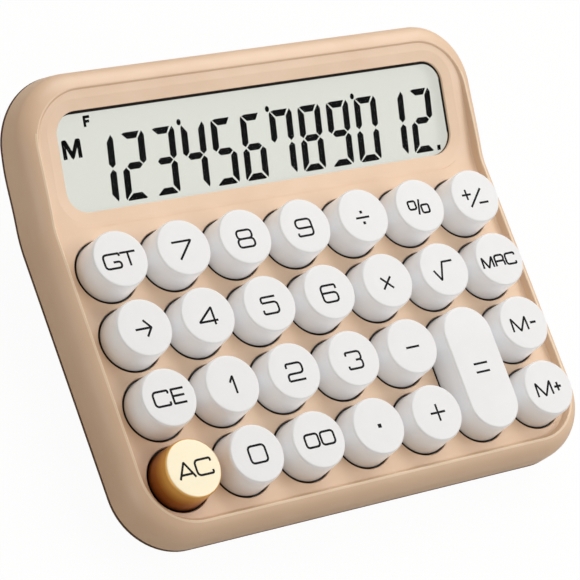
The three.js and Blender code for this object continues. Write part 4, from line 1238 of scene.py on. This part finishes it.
def foot_recesses():
    radius = FOOT_RADIUS + FIT_GAP
    hole = turned([
        (radius + MOUTH_CHAMFER, -OVERRUN),
        (radius + MOUTH_CHAMFER, FOOT_PROUD),
        (radius, FOOT_PROUD + MOUTH_CHAMFER),
        (radius, FOOT_PROUD + FOOT_SUNK + FIT_GAP),
    ], sides=64)
    return [moved(hole, at(*place)) for place in FOOT_PLACES.values()]


def bottom_cover():
    tray = to_object("bottom_shell", loft(tray_rings(), bent))
    combine(tray, "UNION", stand())
    combine(tray, "UNION", to_object("room", battery_room(ROOM_WALL, FOOT_PROUD), GROUND))
    for cutter in (battery_room(0, -OVERRUN), door_recess(), hinge_sockets(), *foot_recesses()):
        cut(tray, cutter, GROUND)
    depths = (-UNDERSIDE_DEPTH - STAND_SPREAD_HEIGHT, -SHELF_DEPTH)
    bore = turned([(COUNTERBORE_RADIUS, depth) for depth in depths], sides=48)
    for place in SCREW_PLACES:
        cut(tray, moved(bore, at(*place)))
    smooth(wedge(tray, -UNDERSIDE_DEPTH))
    dress(tray, "case", "bottom_cover")


# The small pieces of the underside


def battery_door():
    dress(copy_of("battery_door", "door_plate", 0.3), "door", "battery_door")


def contacts():
    for name in ("positive_contact", "negative_contact", "bridge_contact"):
        dress(copy_of(name, name + "_plate", 0.1), "case", name)


def feet():
    """Rubber discs with a rounded rim and a shallow dish in the middle."""
    top = FOOT_PROUD + FOOT_SUNK
    corners = [(3.6, 0.35), (4.1, 0.0), (FOOT_RADIUS, 0.0), (FOOT_RADIUS, top), (FOOT_RADIUS - 0.5, top)]
    profile = [(3.4, 0.35)] + rounded_path(corners, 0.5, 5)
    for name, place in FOOT_PLACES.items():
        there = GROUND @ at(*place)
        foot = to_object("rubber_" + name, turned(profile, sides=64), there)
        dress(smooth(foot), "case", "foot_" + name)


def screws():
    """Case screws: a domed head with a cross recess on a short shank."""
    top = -SHELF_DEPTH - FIT_GAP
    low = top - SCREW_HEAD_HEIGHT
    profile = rounded_path([
        (0.6, low), (SCREW_HEAD_RADIUS * 0.72, low), (SCREW_HEAD_RADIUS, top - SCREW_HEAD_HEIGHT * 0.45),
        (SCREW_HEAD_RADIUS, top), (SCREW_SHANK_RADIUS, top), (SCREW_SHANK_RADIUS, top + 0.8),
    ], 0.5, 4)
    slot = loft([
        (ring(1.65, -0.36, 0.36, 0.12, corner_steps=3), low - 0.5),
        (ring(0.9, -0.2, 0.2, 0.12, corner_steps=3), low + 0.95),
    ])
    for number, spot in enumerate(SCREW_PLACES, 1):
        place = DECK @ at(*spot)
        head = to_object("screw_%d" % number, turned(profile, sides=48), place)
        for turn in (0.6, 0.6 + math.pi / 2):
            cut(head, slot, place @ Matrix.Rotation(turn + number, 4, "Z"))
        dress(smooth(head), "case", "case_screw_%d" % number)


def cells():
    """Two cells side by side, each a sleeve over a can with a nub at one end."""
    half = CELL_LENGTH / 2
    shoulder = half - CELL_NUB_HEIGHT
    sleeve = rounded_path([
        (4.2, -half + 0.08), (CELL_RADIUS, -half + 0.08), (CELL_RADIUS, shoulder), (3.3, shoulder),
    ], 0.5, 5)
    can = rounded_path([
        (0.5, -half), (4.0, -half), (4.0, -half + 0.6),
        (CELL_NUB_RADIUS, -half + 0.9), (CELL_NUB_RADIUS, half), (0.5, half),
    ], 0.3, 4)
    for name, way in (("front", -1), ("back", 1)):
        middle = (0, ROOM_PLACE_Y + way * (CELL_RADIUS + CELL_GAP / 2), ROOM_FLOOR + CELL_RADIUS)
        place = GROUND @ Matrix.Translation(middle) @ Matrix.Rotation(way * math.pi / 2, 4, "Y")
        wrap = to_object("cell_sleeve_" + name, turned(sleeve, sides=64), place)
        ends = to_object("cell_ends_" + name, turned(can, sides=48), place)
        dress(smooth(wrap), "case", "battery_" + name)
        dress(smooth(ends), "case", slot="contact")


# The floor, the light and the camera. Places here are in metres, powers in watts.

FLOOR_SIZE = 12
FLOOR_GLOW = 1.03
FLOOR_GLOW_SHARE = 0.93
AMBIENT = 0.345
AMBIENT_TINT = (1.0, 0.875, 0.74, 1)
LAMPS = (
    ("softbox", (0.46, 0.66, 0.87), (0, 0, 0.03), 1.2, 8.0),
    ("side_softbox", (0.68, -0.4, 0.94), (0, 0, 0.03), 0.9, 5.2),
    ("low_fill", (-0.9, -0.15, 0.14), (0, 0, 0.02), 0.6, 0.9),
)

# The camera's place in millimetres and its axes, in the deck's frame
CAMERA_PLACE = (-441.76, -172.305, 637.304)
CAMERA_RIGHT = (0.82113, -0.33295, 0.46357)
CAMERA_DOWN = (-0.15759, -0.9129, -0.37654)
CAMERA_AHEAD = (0.54856, 0.23613, -0.80207)
FOCAL_PIXELS = 2860.97
FRAME_PIXELS = 580


def stage():
    """A plain pale floor, which the camera sees almost white from above and not at all from below."""
    bpy.ops.mesh.primitive_plane_add(size=FLOOR_SIZE)
    floor = bpy.context.active_object
    floor.name = "floor"
    look = Look("floor_white")
    look.set(
        Base_Color=look.ramp(look.noise(400, 1), (198, 198, 198), (203, 203, 203)),
        Roughness=0.9,
        Specular_IOR_Level=0.1,
    )
    seen = look.times(look.add("LightPath", "Is Camera Ray", {}), FLOOR_GLOW_SHARE)
    glow = look.add("Emission", "Emission", {"Strength": FLOOR_GLOW})
    lit = look.mixed(seen, look.shader.outputs["BSDF"], glow)
    below = look.add("NewGeometry", "Backfacing", {})
    look.show(look.mixed(below, lit, look.add("BsdfTransparent", "BSDF", {})))
    floor.data.materials.append(look.material)


def world():
    """A dim warm studio, white where the camera, glass and gloss see it."""
    made = bpy.data.worlds.new("studio")
    bpy.context.scene.world = made
    made.use_nodes = True
    tree = made.node_tree
    tree.nodes.clear()
    path = tree.nodes.new("ShaderNodeLightPath").outputs
    rays = {0: path["Is Camera Ray"], 1: path["Is Transmission Ray"]}
    seen = add_node(tree, "Math", "Value", rays, operation="MAXIMUM")
    shiny = add_node(tree, "Math", "Value", {0: seen, 1: path["Is Glossy Ray"]}, operation="MAXIMUM")
    strength = add_node(tree, "MapRange", "Result", {"Value": shiny, "To Min": AMBIENT, "To Max": 1.0})
    tints = {"Factor": shiny, "A": AMBIENT_TINT, "B": (1, 1, 1, 1)}
    tint = add_node(tree, "Mix", "Result", tints, data_type="RGBA")
    glow = add_node(tree, "Background", "Background", {"Color": tint, "Strength": strength})
    feed(tree, tree.nodes.new("ShaderNodeOutputWorld").inputs["Surface"], glow)


def lamp(name, place, target, size, power):
    light = bpy.data.lights.new(name, "AREA")
    light.shape = "DISK"
    light.size = size
    light.energy = power
    obj = new_object(name, light)
    obj.location = place
    obj.rotation_euler = (Vector(target) - Vector(place)).to_track_quat("-Z", "Y").to_euler()


def camera():
    data = bpy.data.cameras.new("view")
    data.sensor_width = 36
    data.lens = data.sensor_width * FOCAL_PIXELS / FRAME_PIXELS
    data.clip_start = 0.01
    data.clip_end = 20
    obj = new_object("view", data)
    axes = Matrix((CAMERA_RIGHT, -Vector(CAMERA_DOWN), -Vector(CAMERA_AHEAD))).transposed().to_4x4()
    axes.translation = Vector(CAMERA_PLACE)
    obj.matrix_world = in_metres(DECK @ axes)
    bpy.context.scene.camera = obj


top_cover()
keycaps()
legends()
window_seal_and_shade()
seam_band()
display_marks()
bottom_cover()
battery_door()
feet()
screws()
cells()
contacts()
camera()
stage()
world()
for settings in LAMPS:
    lamp(*settings)
bpy.context.scene.view_settings.view_transform = "Standard"
